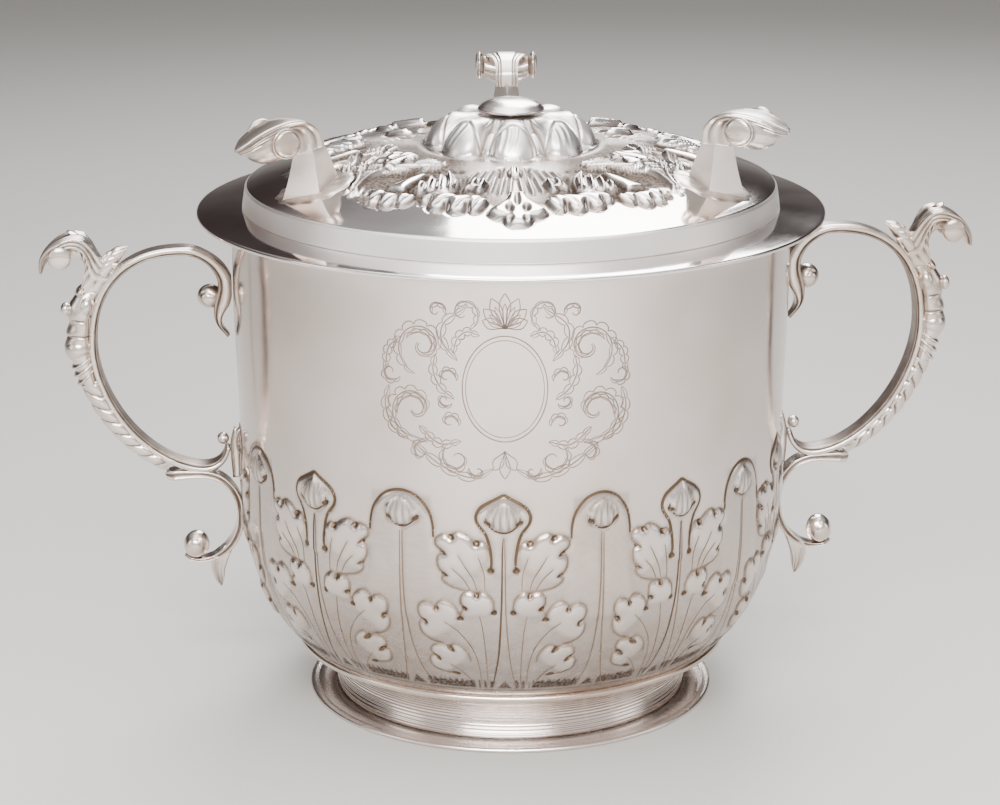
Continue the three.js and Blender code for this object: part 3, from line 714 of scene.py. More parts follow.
base_s = np.array([0, 3, 6, 9, 11, 12.5, BAND_BOTTOM + 0.02])
base_rings = around([(NARROW_RING, UNDER_HEIGHT), (WIDE_RING, UNDER_HEIGHT)], INSIDE_COLUMNS)
under = np.vstack([base_rings, bowl_rings(base_s, INSIDE_COLUMNS), [[0, 0, UNDER_HEIGHT]]])
add_piece("cup_bowl_underside", "cup", ["cup_bowl"], shaded_plate, under,
          [grid_faces(len(base_s) + 2, INSIDE_COLUMNS), fan_faces(len(under) - 1, first, inward=True)])


# Lines on the bowl, as narrow strips just proud of it
STRIP_LIFT = 0.045
PIT_LIFT = 0.06
PIT_POINTS = 12


class Strips:
    """Gathers strips and spots that lie on the bowl into one mesh."""

    def __init__(self):
        self.verts = []
        self.quads = []
        self.triangles = []
        self.count = 0

    def add_verts(self, bearing, along, lift):
        self.verts.append(on_bowl(bearing, along, band_lift(bearing, along) + lift))
        self.count += len(bearing)

    def line(self, points, width, taper=0.35):
        """points are bearings in degrees and distances along the outline."""
        points = np.asarray(points, float)
        middle = points[:, 0].mean()
        flat = np.stack([(points[:, 0] - middle) * bowl_arc(points[:, 1]), points[:, 1]], 1)
        flat = smooth_curve(flat, 0.9)
        share = np.linspace(0, 1, len(flat))
        half = width / 2 * (taper + (1 - taper) * np.sqrt(np.sin(np.pi * share).clip(0)))
        sides = np.stack([beside(flat, half), flat, beside(flat, -half)], 1).reshape(-1, 2)
        self.quads.append(grid_faces(len(flat), 3, wrap=False)[:, ::-1] + self.count)
        self.add_verts(middle + sides[:, 0] / bowl_arc(sides[:, 1]), sides[:, 1], STRIP_LIFT)

    def spot(self, bearing, along, half_long, half_wide, tilt):
        """An oval of a middle point and two rings."""
        inner = self.count + 1 + np.arange(PIT_POINTS)
        outer = inner + PIT_POINTS
        self.triangles.append(fan_faces(self.count, inner))
        self.quads.append(np.stack([inner, outer, np.roll(outer, -1), np.roll(inner, -1)], 1))
        turn = math.radians(tilt)
        for share, count in ((0.0, 1), (0.55, PIT_POINTS), (1.0, PIT_POINTS)):
            u = share * half_long * np.cos(full_turn(count))
            v = share * half_wide * np.sin(full_turn(count))
            s = along + u * math.sin(turn) + v * math.cos(turn)
            self.add_verts(bearing + (u * math.cos(turn) - v * math.sin(turn)) / bowl_arc(s), s, PIT_LIFT)

    def build(self, name, material):
        faces = [np.vstack(kind) for kind in (self.quads, self.triangles) if kind]
        return add_piece(name, "cup", [], material, np.vstack(self.verts), faces)


deep, fine = Strips(), Strips()


def warp(index):
    """Places a motif's offsets at a division, following the uneven spacing on either side of it."""
    middle = divisions[index]
    before = divisions[index - 1] if index else divisions[-2] - 360
    after = divisions[index + 1]

    def place(points):
        made = np.array(points, float)
        scale = np.where(made[:, 0] < 0, (middle - before) / DIVISION, (after - middle) / DIVISION)
        made[:, 0] = middle + made[:, 0] * scale
        return made

    return place


def spot_pits(pits, place, side):
    for offset, along, half_long, half_wide, tilt in pits:
        bearing, distance = place([(offset * side, along)])[0]
        deep.spot(bearing, distance, half_long, half_wide, tilt * side)


def line_leaf(place):
    deep.line(place(HOOD), 0.85, taper=0.8)
    deep.line(place(LEAF_BUD), 0.55)
    # The stem's left line is drawn wider and darker than its right: painted shade on the stem's shadow side
    deep.line(place(STEM_LINES[0]), 0.55)
    fine.line(place(STEM_LINES[1]), 0.4)
    for side, flip in ((1, list), (-1, mirror)):
        for outline, *_ in LOBES:
            fine.line(place(flip(outline)), 0.42, taper=0.7)
        for vein in LEAF_VEINS:
            fine.line(place(flip(vein)), 0.34)
        spot_pits(LEAF_PITS, place, side)


def line_tongue(place):
    deep.line(place(TONGUE_ARCH), 0.75, taper=0.7)
    deep.line(place(TONGUE_BUD), 0.5)
    for stem in TONGUE_STEM:
        fine.line(place(stem), 0.45)
    spot_pits(TONGUE_PITS, place, 1)


for index in range(len(divisions) - 1):
    draw = line_leaf if index % 2 else line_tongue
    draw(warp(index))
deep.build("cup_bowl_deep_lines", groove)
fine.build("cup_bowl_fine_lines", fine_groove)


# Engraved cartouche with a blank field, in millimetres from its middle: across, then up
CARTOUCHE_BEARING = -96.8
CARTOUCHE_HEIGHT = 110.5


def on_front(points):
    points = np.asarray(points, float)
    along = bowl_length - (RIM_HEIGHT - CARTOUCHE_HEIGHT - points[:, 1])
    return np.stack([CARTOUCHE_BEARING + points[:, 0] / bowl_arc(along), along], 1)


def spiral(centre, start, end, first, last):
    """A curl from radius `start` at the bearing `first` to radius `end` at `last`, in degrees."""
    share = np.linspace(0, 1, 26)
    turn = np.radians(first + (last - first) * share)
    radius = start + (end - start) * share ** 0.8
    return np.stack([centre[0] + radius * np.cos(turn), centre[1] + radius * np.sin(turn)], 1)


def leafage(line, depth, lobes):
    """The lobed edge of a leaf that follows the outer side of a line."""
    line = spread(line, lobes * 8 + 1)
    share = np.linspace(0, 1, len(line))
    out = depth * (0.35 + 0.65 * np.abs(np.sin(share * np.pi * lobes)) ** 0.6) * np.sin(np.pi * share) ** 0.5
    return beside(line, -out)


def petal(root, bearing, length, half):
    """A drop-shaped loop."""
    share = np.linspace(0, 1, 13)
    wide = half * np.sin(np.pi * share ** 1.5)
    side = np.concatenate([np.stack([share * length, wide], 1), np.stack([share * length, -wide], 1)[-2::-1]])
    c, s = math.cos(math.radians(bearing)), math.sin(math.radians(bearing))
    return side @ np.array([[c, s], [-s, c]]) + np.asarray(root)


# Each curl's centre, first and last radius, first and last bearing, and its leaf's depth and count of lobes
CURLS = [
    ((24.2, -6.4), 8.8, 1.2, -118, 330, 1.9, 10), ((22.0, 11.0), 8.0, 1.2, -75, 400, 1.9, 9),
    ((11.0, 20.4), 5.0, 0.8, 250, -130, -1.2, 6), ((12.8, -19.4), 4.6, 0.9, 60, -330, 1.1, 6),
    ((31.0, 3.2), 3.0, 0.6, -160, 200, 1.0, 4), ((14.6, -9.4), 2.6, 0.6, 200, -130, 1.0, 4),
    ((15.4, 3.0), 2.8, 0.5, 200, -120, 0.9, 4), ((24.2, -6.4), 5.2, 0.8, -20, 330, 0.9, 6),
    ((22.0, 11.0), 4.6, 0.8, 20, 400, 0.9, 6), ((18.2, 20.6), 3.0, 0.5, 200, -160, -0.9, 4),
    ((22.4, -18.2), 3.2, 0.5, 120, -220, 0.9, 4), ((7.2, -22.6), 2.4, 0.4, 20, -300, 0.7, 3),
    ((16.0, -3.4), 2.2, 0.4, -160, 200, 0.7, 3),
]
LEAF_STALKS = [
    [(3, -22), (9, -24.5), (17, -21.5), (25, -15.5)],
    [(11.5, -14.6), (17.5, -15.5), (23, -11)],
    [(12.5, 7.5), (16.5, 12.5), (16.0, 17.5), (10, 22)],
    [(28, 13), (31.5, 9.5), (32.4, 3.5)],
    [(13.4, -3), (17, 0), (19, 4.5), (18.4, 9)],
    [(26, -15), (30.5, -12), (32.6, -6), (31.4, -0.5)],
    [(6.6, 14.4), (10, 15.4), (12.6, 13.2), (13.6, 9.4)],
]
# Drop-shaped loops above and below the oval: bearing and length
PETALS_ABOVE = [(90, 9.4), (66, 8.8), (114, 8.8), (43, 7.6), (137, 7.6), (20, 6.2), (160, 6.2)]
PETALS_BELOW = [(-90, 7.6), (-62, 6.0), (-118, 6.0)]
cartouche = Strips()


def engrave(points, width, taper=0.35):
    cartouche.line(on_front(points), width, taper)


oval_turn = np.linspace(0, 2 * np.pi, 60)
for reach, width in ((1.0, 0.34), (0.92, 0.22)):
    engrave(np.stack([11.2 * reach * np.cos(oval_turn), 14.4 * reach * np.sin(oval_turn)], 1), width, 1.0)
for side in (1, -1):
    flipped = np.array([side, 1.0])
    for centre, start, end, first, last, depth, lobes in CURLS:
        curl = spiral(centre, start, end, first, last)
        engrave(curl * flipped, 0.36)
        out = depth * math.copysign(1, last - first)
        engrave(leafage(curl[:18], out, lobes) * flipped, 0.3)
        engrave(leafage(curl[1:15], -0.45 * out, lobes - 2) * flipped, 0.24)
    for stalk in LEAF_STALKS:
        engrave(np.array(stalk) * flipped, 0.36)
        for out in (1.3, -1.3):
            engrave(leafage(smooth_curve(stalk, 0.8), out, 5) * flipped, 0.28)
for bearing, length in PETALS_ABOVE:
    engrave(petal((0, 16.4), bearing, length, 1.5), 0.3, 1.0)
    engrave(petal((0, 16.4), bearing, length * 0.72, 0.6), 0.22, 1.0)
for bearing, length in PETALS_BELOW:
    engrave(petal((0, -17.0), bearing, length, 1.4), 0.3, 1.0)
cartouche.build("cup_bowl_engraving", engraved)


# Foot: collar, flange and the wire above them
collar = [(48.9, 1.33), (50.8, 1.33), (50.95, 1.35), (51.0, 1.42), (51.0, 1.8), (50.98, 2.2)]
cove = [
    (50.9, 2.6), (50.5, 4.2), (50.4, 5.5), (50.7, 7.6), (51.7, 9.8), (53.4, 11.9), (56.0, 13.9),
    (58.4, 15.0), (59.7, 15.5),
]
reeded = smooth_curve(cove, 0.16)
reeded[:, 0] += 0.11 * np.sin(np.arange(len(reeded)) * 2 * np.pi / 7) * smoothstep(59.0 - reeded[:, 0], 0, 2)
collar += [tuple(p) for p in reeded]
collar += [(59.95, 15.7), (59.95, 16.3), (59.6, 16.6), (54, 14.9), (48.9, 14.3)]
turned("foot_collar_turned", "cup", "foot_collar", shaded_plate, collar, FOOT_COLUMNS, closed=True)
# The first 60 mm of the outline, where the radius only grows
lower_line = bowl_line[bowl_along < 60]
wire_height = np.interp(WIRE_CENTRE, lower_line[:, 0], lower_line[:, 1]) - WIRE_RADIUS * 0.9
wire_turn = np.radians(bearings(36))
wire = np.stack([np.cos(wire_turn), np.sin(wire_turn)], 1) * WIRE_RADIUS + [WIRE_CENTRE, wire_height]
turned("foot_wire_turned", "cup", "foot_wire", worn_wire, wire, FOOT_COLUMNS, closed=True)
flange = [
    (48.9, 0), (58.3, 0), (58.7, 0.15), (58.8, 0.5), (58.7, 1.05), (58.3, 1.28), (56.9, 1.3), (56.7, 1.22),
    (56.3, 1.22), (56.1, 1.3), (48.9, 1.3),
]
turned("foot_flange_turned", "cup", "foot_flange", shaded_plate, flange, FOOT_COLUMNS, closed=True, frost=0.5)


# Cover: flange, drum and the chased crown
ring_flange = [
    (73.6, 142.02), (75.6, 142.02), (88.0, 141.35), (88.35, 141.4), (88.5, 141.65), (88.5, 142.2),
    (88.3, 142.5), (87.9, 142.6), (76.1, 143.25), (73.6, 143.27),
]
turned("cover_flange_turned", "cover", "cover_flange", cover_plate, ring_flange, COVER_COLUMNS,
       closed=True)

crown_line = smooth_curve([
    (74.45, 149.5), (74.1, 149.72), (73.4, 149.95), (71.2, 150.7), (67.6, 151.75), (63.5, 152.9),
    (60.5, 153.75), (57, 154.9), (54, 155.9), (50, 156.9), (44, 158.0), (38, 158.8), (30, 159.5),
    (23, 160.1),
], 0.4)[::-1]


def crown_height(radius):
    return np.interp(radius, crown_line[:, 0], crown_line[:, 1])


# Chasing on the cover. Offsets are degrees from the middle of a palmette and radii in millimetres. A bracket
# stands half way between two palmettes.
REPEAT = 120
PALMETTE = [
    (0, 69.2), (1.7, 68.8), (3.0, 67.4), (3.6, 65.4), (5.4, 64.6), (7.4, 62.6), (7.2, 60.0), (5.2, 57.6),
    (3.7, 55.6), (3.0, 53.6), (1.7, 51.6), (0, 51.0),
]
PALMETTE_PITS = [(2.1, 61.2, 2.0, 0.8, 90), (1.75, 66.5, 1.0, 0.55, 90)]
FRONT_LEAF = [
    (7.6, 56.0), (8.2, 59.2), (9.8, 61.4), (11.6, 61.8), (12.6, 60.2), (13.6, 61.8), (15.6, 62.6),
    (17.4, 61.6), (18.2, 60.0), (19.4, 61.4), (21.4, 61.8), (23.2, 60.4), (23.6, 59.0), (25.2, 59.2),
    (26.8, 57.6), (26.4, 55.4), (24.0, 53.8), (20.4, 53.4), (16.0, 54.2), (11.6, 53.8),
]
FRONT_VEINS = [
    [(9, 55), (10.6, 58), (11.2, 60.6)],
    [(12, 54.4), (14.6, 57.4), (15.8, 61)],
    [(15.5, 54.6), (19.4, 57), (21.4, 60.4)],
    [(19, 54.2), (23, 55.8), (25.2, 57.8)],
]
EDGE_LEAF = [
    (28.0, 56.4), (28.8, 59.4), (30.6, 61.4), (32.2, 60.6), (33.0, 62.6), (35.2, 63.4), (36.8, 61.8),
    (37.8, 63.0), (40.0, 62.8), (41.4, 60.8), (43.4, 61.0), (45.2, 59.0), (44.8, 56.4), (41, 55.4),
    (36, 56.2), (32, 55.4),
]
EDGE_VEINS = [
    [(30, 56.4), (31, 59), (31, 60.8)],
    [(33.6, 56.6), (35, 59.4), (35, 62.4)],
    [(37.6, 56.4), (39, 59), (39.6, 61.8)],
    [(41, 56.2), (43, 57.8), (43.4, 60)],
]
RIDGED_LEAF = [
    (17.5, 53.2), (18.6, 47), (21.2, 43), (24.5, 40.6), (26.8, 42.4), (27.6, 45), (29.6, 46), (30.4, 49),
    (31.6, 51.5), (31.2, 54.2), (26.5, 55.2), (21.5, 54.4),
]
RIDGES = [
    [(19.5, 52.5), (21.5, 47.5), (24.4, 43)],
    [(22.6, 53.6), (24.4, 49), (26.2, 45)],
    [(25.8, 54.2), (27.2, 50.4), (28.4, 47.2)],
    [(28.8, 54.2), (29.6, 51.2), (30, 49.6)],
]
SMALL_LEAF = [
    (8.6, 46), (9.6, 50.6), (12, 52), (13.8, 49.8), (15.6, 51.2), (17, 48), (15.4, 44.6), (12, 43.6),
]
STEP_LEAF = [(33, 55.2), (33.4, 50), (32.6, 45), (34.6, 42), (37.4, 45.4), (39, 50), (40.4, 54), (37, 55.4)]
AXIS_LEAF = [
    (0, 30.4), (4, 30.8), (8, 32.8), (12.4, 34.8), (14.0, 37.8), (11.4, 40.4), (7.8, 39.6), (5.4, 42.2),
    (2, 43.0), (0, 41.6),
]
BUD_LEAF = [(0, 31.4), (2.6, 32.6), (3.6, 36), (2.4, 39.6), (0, 41)]
# Leaves with their height and the width of their rounded edge
LEAVES = [(SMALL_LEAF, 1.5, 2.2), (STEP_LEAF, 1.3, 2.4), (RIDGED_LEAF, 1.7, 2.6), (FRONT_LEAF, 1.9, 3.4),
          (EDGE_LEAF, 1.7, 3.2)]
LEAF_HOLES = [
    (12.8, 59.0, 1.0, 0.65, 85), (18.4, 59.0, 1.1, 0.65, 75), (23.6, 57.6, 1.0, 0.6, 60),
    (32.6, 59.4, 0.9, 0.55, 80), (37.4, 60.2, 1.0, 0.6, 80), (42.0, 58.8, 0.9, 0.5, 60),
    (12.2, 47.6, 0.9, 0.6, 80), (28.4, 44.2, 1.1, 0.7, 50),
]
TEARS = [
    ([(0, 53), (0, 56), (0, 59.2)], 1.0, 0.8), ([(6, 31.6), (6.4, 35), (5.6, 38.6)], 1.1, 1.0),
    ([(8.6, 53.4), (14, 53.2), (20, 52.6)], 0.8, 0.6), ([(27, 55.6), (31, 54.6), (37, 55.0)], 0.8, 0.6),
    ([(19, 41), (17.6, 46), (17, 51)], 1.0, 0.8), ([(32, 42), (32, 48), (32.6, 53)], 1.0, 0.8),
    ([(41, 40), (42.4, 46), (43.6, 52)], 1.1, 1.2), ([(24, 36.6), (30, 37.2), (35, 39)], 1.0, 1.0),
]
STEMS = [
    [(34, 33.4), (40, 35), (44.6, 37.5), (48, 41), (49.8, 45), (50, 50), (49, 54), (47.6, 58)],
    [(80, 32.6), (72, 37), (66, 41.5), (60, 46.5), (55, 51), (50.5, 57)],
    [(86, 37), (77, 41.2), (69, 46.2), (62, 51.4)],
]
RAY_STARTS = np.arange(1.6, 17, 3.0)
LEAF_FROST = 0.12
BRACKET_RADIUS = 61.5


def shifted(line, across, out):
    return [(x + across, r + out) for x, r in line]


def chase_side(crown, centre, flip):
    """One half of a repeat: stems, the palmette's rays, leaves with their veins and ridges, and tears."""
    for stem in STEMS:
        line = flip(stem)
        crown.cut(line, centre, -1.5, 0.7, 0.0)
        crown.cut(shifted(line, 0, 1.9), centre, -1.2, 0.55, 0.0)
        crown.cut(shifted(line, 0, 0.95), centre, 0.4, 0.4, 0.9)
        crown.cut(shifted(line, 0, -1.1), centre, 0.25, 0.5, 0.9)
    for place in RAY_STARTS:
        start = 35.5 + 2.2 * math.sin(place * 2.3)
        end = 53.0 - 0.25 * place
        ray = [(place - 0.5, start), (place, (start + end) / 2), (place + 0.4, end)]
        crown.cut(flip(ray), centre, -0.6, 0.5, 0.0)
        crown.cut(flip(shifted(ray, 1.5, 0)), centre, 0.2, 0.35, 0.8)
    for leaf, height, edge in LEAVES:
        crown.swell(flip(leaf), centre, height, edge, frost=LEAF_FROST)
        crown.cut(flip(leaf), centre, 0.3, 0.5, 0.95)
    for vein in FRONT_VEINS + EDGE_VEINS:
        crown.cut(flip(vein), centre, 0.35, 0.4, 0.7)
    for ridge in RIDGES:
        crown.cut(flip(ridge), centre, -0.9, 0.5, 0.0)
        crown.cut(flip(shifted(ridge, 1.5, 0)), centre, 0.3, 0.4, 0.8)
    for tear, depth, width in TEARS:
        crown.cut(flip(tear), centre, depth, width, 0.95)


def chase_cover():
    crown = Relief(REPEAT / 2, 23, 75, 0.125, 0.25, np.radians)
    for centre in (-REPEAT, 0, REPEAT):
        for flip in (list, mirror):
            chase_side(crown, centre, flip)
        for outline, height in ((PALMETTE, 1.9), (BUD_LEAF, 1.5)):
            crown.swell(both_sides(outline, closed=True), centre, height, 3.0, frost=LEAF_FROST)
            crown.cut(both_sides(outline), centre, 0.25, 0.45, 0.9)
        crown.cut([(0, 53), (0, 56), (0, 59.2)], centre, 0.6, 0.7, 0.8)
        for side in (1, -1):
            for pit in PALMETTE_PITS + LEAF_HOLES:
                crown.punch(pit, centre, side, depth=0.9)
    for axis in (-REPEAT / 2, REPEAT / 2):
        crown.swell(both_sides(AXIS_LEAF, closed=True), axis, 1.6, 3.0, frost=LEAF_FROST)
        crown.cut(both_sides(AXIS_LEAF), axis, 0.3, 0.5, 0.95)
        for spot in (-7, 0, 7):
            crown.punch((spot, 37.0 + abs(spot) * 0.1, 1.6, 0.8, 60), axis, 1, depth=0.8)
            crown.cut([(spot * 0.5, 32), (spot * 0.8, 35.5)], axis, 0.35, 0.4, 0.5)
    finish_crown(crown)
    return crown


def finish_crown(crown):
    """Darkens the low ground, and smooths the places where the brackets stand and the outer edge."""
    layers, radius, offset = crown.layers, crown.grid_s, crown.grid_x
    low = smoothstep(1.15 - layers["relief"], 0, 0.8)
    edge = 58 + 1.2 * np.cos(np.radians(offset * 12)) + 0.8 * np.sin(np.radians(offset * 54))
    front = 0.35 + 0.6 * smoothstep(np.abs(offset) + (radius - 30) * 0.8, 12, 36)
    layers["ground"] = front * low * smoothstep(radius, 24, 27) * smoothstep(edge - radius, 0, 1.5)
    layers["patina"] = np.maximum(layers["patina"], 0.8 * layers["ground"])
    foot = np.hypot((REPEAT / 2 - np.abs(offset)) * crown.arc / 10.5, (radius - BRACKET_RADIUS) / 11.5)
    for values in layers.values():
        values *= smoothstep(foot, 0.8, 1.02)
    layers["relief"] *= smoothstep(74 - radius, 0, 3)


crown = chase_cover()
crown_radii = np.concatenate([np.arange(23.2, 69.4, 0.56), [70.2, 71.2, 72.2, 73.0, 73.6, 74.1, 74.3]])
crown_b, crown_r = np.meshgrid(bearings(CROWN_COLUMNS), crown_radii)
FRONT_PALMETTE = -94.0


def crown_layer(key):
    return crown.sample(key, (crown_b - FRONT_PALMETTE + REPEAT / 2) % REPEAT - REPEAT / 2, crown_r)


add_piece("cover_crown_chased", "cover", ["cover_shell"], cover_plate,
          about_axis(crown_b, crown_r, crown_height(crown_r) + crown_layer("relief")).reshape(-1, 3),
          [grid_faces(len(crown_radii), CROWN_COLUMNS)[:, ::-1]],
          {key: crown_layer(key) for key in ("patina", "frost", "ground")})
shell_inside = [
    (23.2, 158.9), (38, 157.6), (54, 154.6), (60.5, 152.3), (73, 148.4), (73.6, 147.6), (74.3, 143.3),
    (75.5, 143.28),
]
drum_side = smooth_curve([
    (75.5, 143.28), (75.6, 143.45), (75.6, 144.1), (74.95, 148.5), (74.85, 149.0), (74.6, 149.35),
    (74.3, 149.56),
], 0.2)
turned("cover_drum_turned", "cover", "cover_shell", matt_plate, drum_side, COVER_COLUMNS, frost=0.7)
turned("cover_shell_inside", "cover", "cover_shell", shaded_plate, shell_inside, SHELL_COLUMNS)
# The disc under the rosette, with its lower side
DISC_THICKNESS = 1.1
centre_disc = around([(0.5, 160.9), (12, 160.7), (23.5, 160.0)], DISC_COLUMNS)
disc_faces = grid_faces(3, DISC_COLUMNS)
add_piece("cover_crown_centre", "cover", ["cover_shell"], shaded_plate,
          np.vstack([centre_disc, centre_disc - [0, 0, DISC_THICKNESS]]),
          [disc_faces[:, ::-1], disc_faces + len(centre_disc)])


# Rosette of overlapping leaves and its button
ROSETTE_BASE = 161.27
# Degrees from one leaf of a ring to the next, and the inner end of every leaf
PETAL = 45.0
LEAF_ROOT = 7


def petal_height(offset, radius, reach, crest, half_width):
    """Height of one ring of leaves above the rosette's foot, by the offset from the nearest leaf's middle."""
    share = np.abs(offset) / half_width
    outline = reach * (1 - 0.2 * np.clip(share, 0, 1) ** 2.6)
    t = np.clip((radius - LEAF_ROOT) / (outline - LEAF_ROOT), 0, 1.2)
    along = (1 - np.clip(t, 0, 1) ** 3.6) ** 0.6
    across = np.sqrt(np.clip(1 - np.clip(share, 0, 1) ** 2.4, 0, 1))
    sides = 1 - 0.62 * (1 - across) * smoothstep(radius, 8.5, 14)
    swell = 1.3 * bump(t - 0.62, 0.24) * across
    return np.where(t <= 1, crest * along * sides + swell, 0)


def rosette_surface():
    inner_end, outer_end = 5.5, 24.6
    radii = np.arange(inner_end, outer_end, 0.22)
    bearing, radius = np.meshgrid(bearings(ROSETTE_COLUMNS), radii)
    first = (bearing - FRONT_PALMETTE + PETAL / 2) % PETAL - PETAL / 2
    second = (bearing - FRONT_PALMETTE) % PETAL - PETAL / 2
    outer = petal_height(first, radius, 24.3, 7.3, 20.5)
    inner = petal_height(second, radius, 20.0, 4.4, 11.0) - 0.6
    height = np.maximum(outer, inner)
    # Each outer leaf has a flap turned over it, with two points and a doubled edge, and lobes under the flap
    off = np.abs(np.radians(first) * radius)
    side = 2.3 + (radius - 8.5) * 0.4 - off
    tip = 17.0 + 0.5 * off - radius
    flap = smoothstep(side, 0, 0.5) * smoothstep(tip, 0, 0.5)
    border = bump(side, 0.27) * (tip > -0.35) + bump(tip, 0.34) * (side > -0.25)
    doubled = bump(side - 0.95, 0.2) * smoothstep(tip, 0.4, 1.6) * smoothstep(radius, 9.5, 11)
    below = smoothstep(-tip, 0, 1.2) * smoothstep(24 - radius, 0, 1.5)
    across = np.radians(first) * radius + 0.9 + 0.08 * (radius - 19) ** 2
    reeds = np.cos(across * 2.9) * smoothstep(2.9 - np.abs(across), 0, 0.8) * below
    lobes = bump(off - 5.2, 1.7) * below
    chased = (border.clip(0, 1) + 0.5 * doubled) * smoothstep(radius, 9, 11) * (outer >= inner)
    raised = 0.42 * flap + 0.16 * reeds + 0.5 * lobes
    height = height + raised * (outer >= inner) * smoothstep(radius, 8.5, 11)
    height = np.clip(height - 0.25 * chased, 0.0, None) * (1 - 0.15 * smoothstep(radius, 22.0, 24.5))
    seam = bump(outer - inner, 0.3) * smoothstep(radius, 11, 14)
    darkening = 0.85 * seam + 0.35 * smoothstep(0.9 - height, 0, 0.9) + 0.75 * chased + 0.12 * (reeds < -0.5)
    foot = np.interp(radius, [inner_end, outer_end], [ROSETTE_BASE + 0.25, 159.95])
    verts = about_axis(bearing, radius, foot + height).reshape(-1, 3)
    add_piece("rosette_leaves", "cover", ["cover_rosette"], matt_plate, verts,
              [grid_faces(len(radii), ROSETTE_COLUMNS)[:, ::-1]],
              {"patina": np.clip(darkening, 0, 0.8), "frost": 0.6 * smoothstep(height, 1.0, 3)})


rosette_surface()
button = smooth_curve([
    (6.0, 169.0), (9.0, 169.55), (9.35, 169.9), (9.35, 170.3), (8.9, 170.75), (7.9, 171.6), (5.8, 172.5),
    (3.2, 172.95), (0.3, 173.07),
], 0.15)
turned("rosette_button_turned", "cover", "rosette_button", cover_plate, button, BUTTON_COLUMNS,
       patina=bump(button[:, 1] - 169.7, 0.35), frost=0.6)


# Cast pieces: lofts between two lines in the plane of a handle or bracket, balls and discs

def bar_section(below, edge, above):
    """A section that is the same on both sides: a row below, the points of its side, and a row above. Each
    row is given by its half width and its count of points."""
    under, over = np.linspace(-below[0], *below), np.linspace(above[0], -above[0], above[1])
    return [*[(v, 0.0) for v in under], *edge, *[(v, 1.0) for v in over], *mirror(edge)[::-1]]


def domed_section(foot, overrun, count):
    """A section with a flat foot under a round back that runs on by an angle at both ends."""
    turn = np.linspace(-overrun, np.pi + overrun, count)
    return [(v, 0.0) for v in foot] + [(np.cos(a), 0.3 + 0.7 * np.sin(a)) for a in turn]


HANDLE_SECTION = bar_section((0.84, 9), [
    (0.93, 0.03), (0.98, 0.09), (0.96, 0.17), (0.86, 0.22), (0.83, 0.26), (0.88, 0.31), (0.96, 0.38),
    (1.0, 0.5), (1.0, 0.66), (0.96, 0.8), (0.88, 0.92), (0.8, 0.98),
], (0.7, 9))
LIPPED_SECTION = bar_section((0.8, 9), [
    (0.92, 0.0), (0.99, 0.06), (1.0, 0.2), (0.95, 0.28), (0.86, 0.34), (0.85, 0.66), (0.95, 0.72),
    (1.0, 0.8), (0.99, 0.94), (0.92, 1.0),
], (0.8, 9))


def loft(inner, outer, half_width, section, shape=None):
    """Verts and faces of a closed bar. Each station is a section drawn between two points of the lines, as
    (across, through) pairs: across runs from -1 to 1 and through from 0 on the inner line to 1 on the outer.
    `shape` gets the share of the way along, both of these and the thickness, and gives both back."""
    inner, outer = np.asarray(inner, float), np.asarray(outer, float)
    section = np.asarray(section, float)
    stations, count = len(inner), len(section)
    half_width = np.broadcast_to(half_width, stations)[:, None]
    v = np.broadcast_to(section[:, 0], (stations, count))
    t = np.broadcast_to(section[:, 1], (stations, count))
    thick = np.maximum(np.linalg.norm(outer - inner, axis=1), 0.05)[:, None]
    if shape is not None:
        v, t = shape(np.linspace(0, 1, stations)[:, None], v, t, thick)
    spot = inner[:, None, :] + (outer - inner)[:, None, :] * t[..., None]
    verts = np.stack([spot[..., 0], v * half_width, spot[..., 1]], -1)
    ends = verts[[0, -1]].mean(1)
    verts = np.vstack([verts.reshape(-1, 3), ends])
    ring = np.arange(count)
    total = stations * count
    return verts, [grid_faces(stations, count), fan_faces(total, ring, inward=True),
                   fan_faces(total + 1, ring + total - count)]


def bulb(centre, radii, tilt, columns, rows, relief=None):
    """Verts and faces of a handle's ball or egg with its poles across the plane, tilted in it by degrees."""
    centre = spots(centre)[0]
    down = np.linspace(0, np.pi, rows + 1)[:, None]
    turn = full_turn(columns)[None, :]
    swollen = 1 + (relief(down, turn) if relief else 0 * down * turn)
    x = np.sin(down) * np.cos(turn) * radii[0] * swollen
    z = np.sin(down) * np.sin(turn) * radii[2] * swollen
    y = -np.cos(down) * radii[1] * swollen
    c, s = math.cos(math.radians(tilt)), math.sin(math.radians(tilt))
    verts = np.stack([centre[0] + x * c - z * s, y, centre[1] + x * s + z * c], -1).reshape(-1, 3)
    return verts, [grid_faces(rows + 1, columns)[:, ::-1]]


def spun(centre, profile, columns, drift, stretch):
    """Verts and faces turned about a line across the plane: profile is (place across, radius). By the place
    across, `drift` gives how far the middle moves out and up, and `stretch` widens the rings."""
    profile = np.asarray(profile, float)
    turn = full_turn(columns)[None, :]
    place = profile[:, :1]
    out, up = drift(place)
    x = centre[0] + out + profile[:, 1:] * np.cos(turn) * stretch(place)
    z = centre[1] + up + profile[:, 1:] * np.sin(turn)
    verts = np.stack([x, np.broadcast_to(place, x.shape), z], -1).reshape(-1, 3)
    return verts, [grid_faces(len(profile), columns)]


def joined(*parts):
    """One mesh of several, as verts and faces."""
    verts, faces, count = [], [], 0
    for part_verts, part_faces in parts:
        verts.append(part_verts)
        faces.extend(face + count for face in part_faces)
        count += len(part_verts)
    return np.vstack(verts), faces


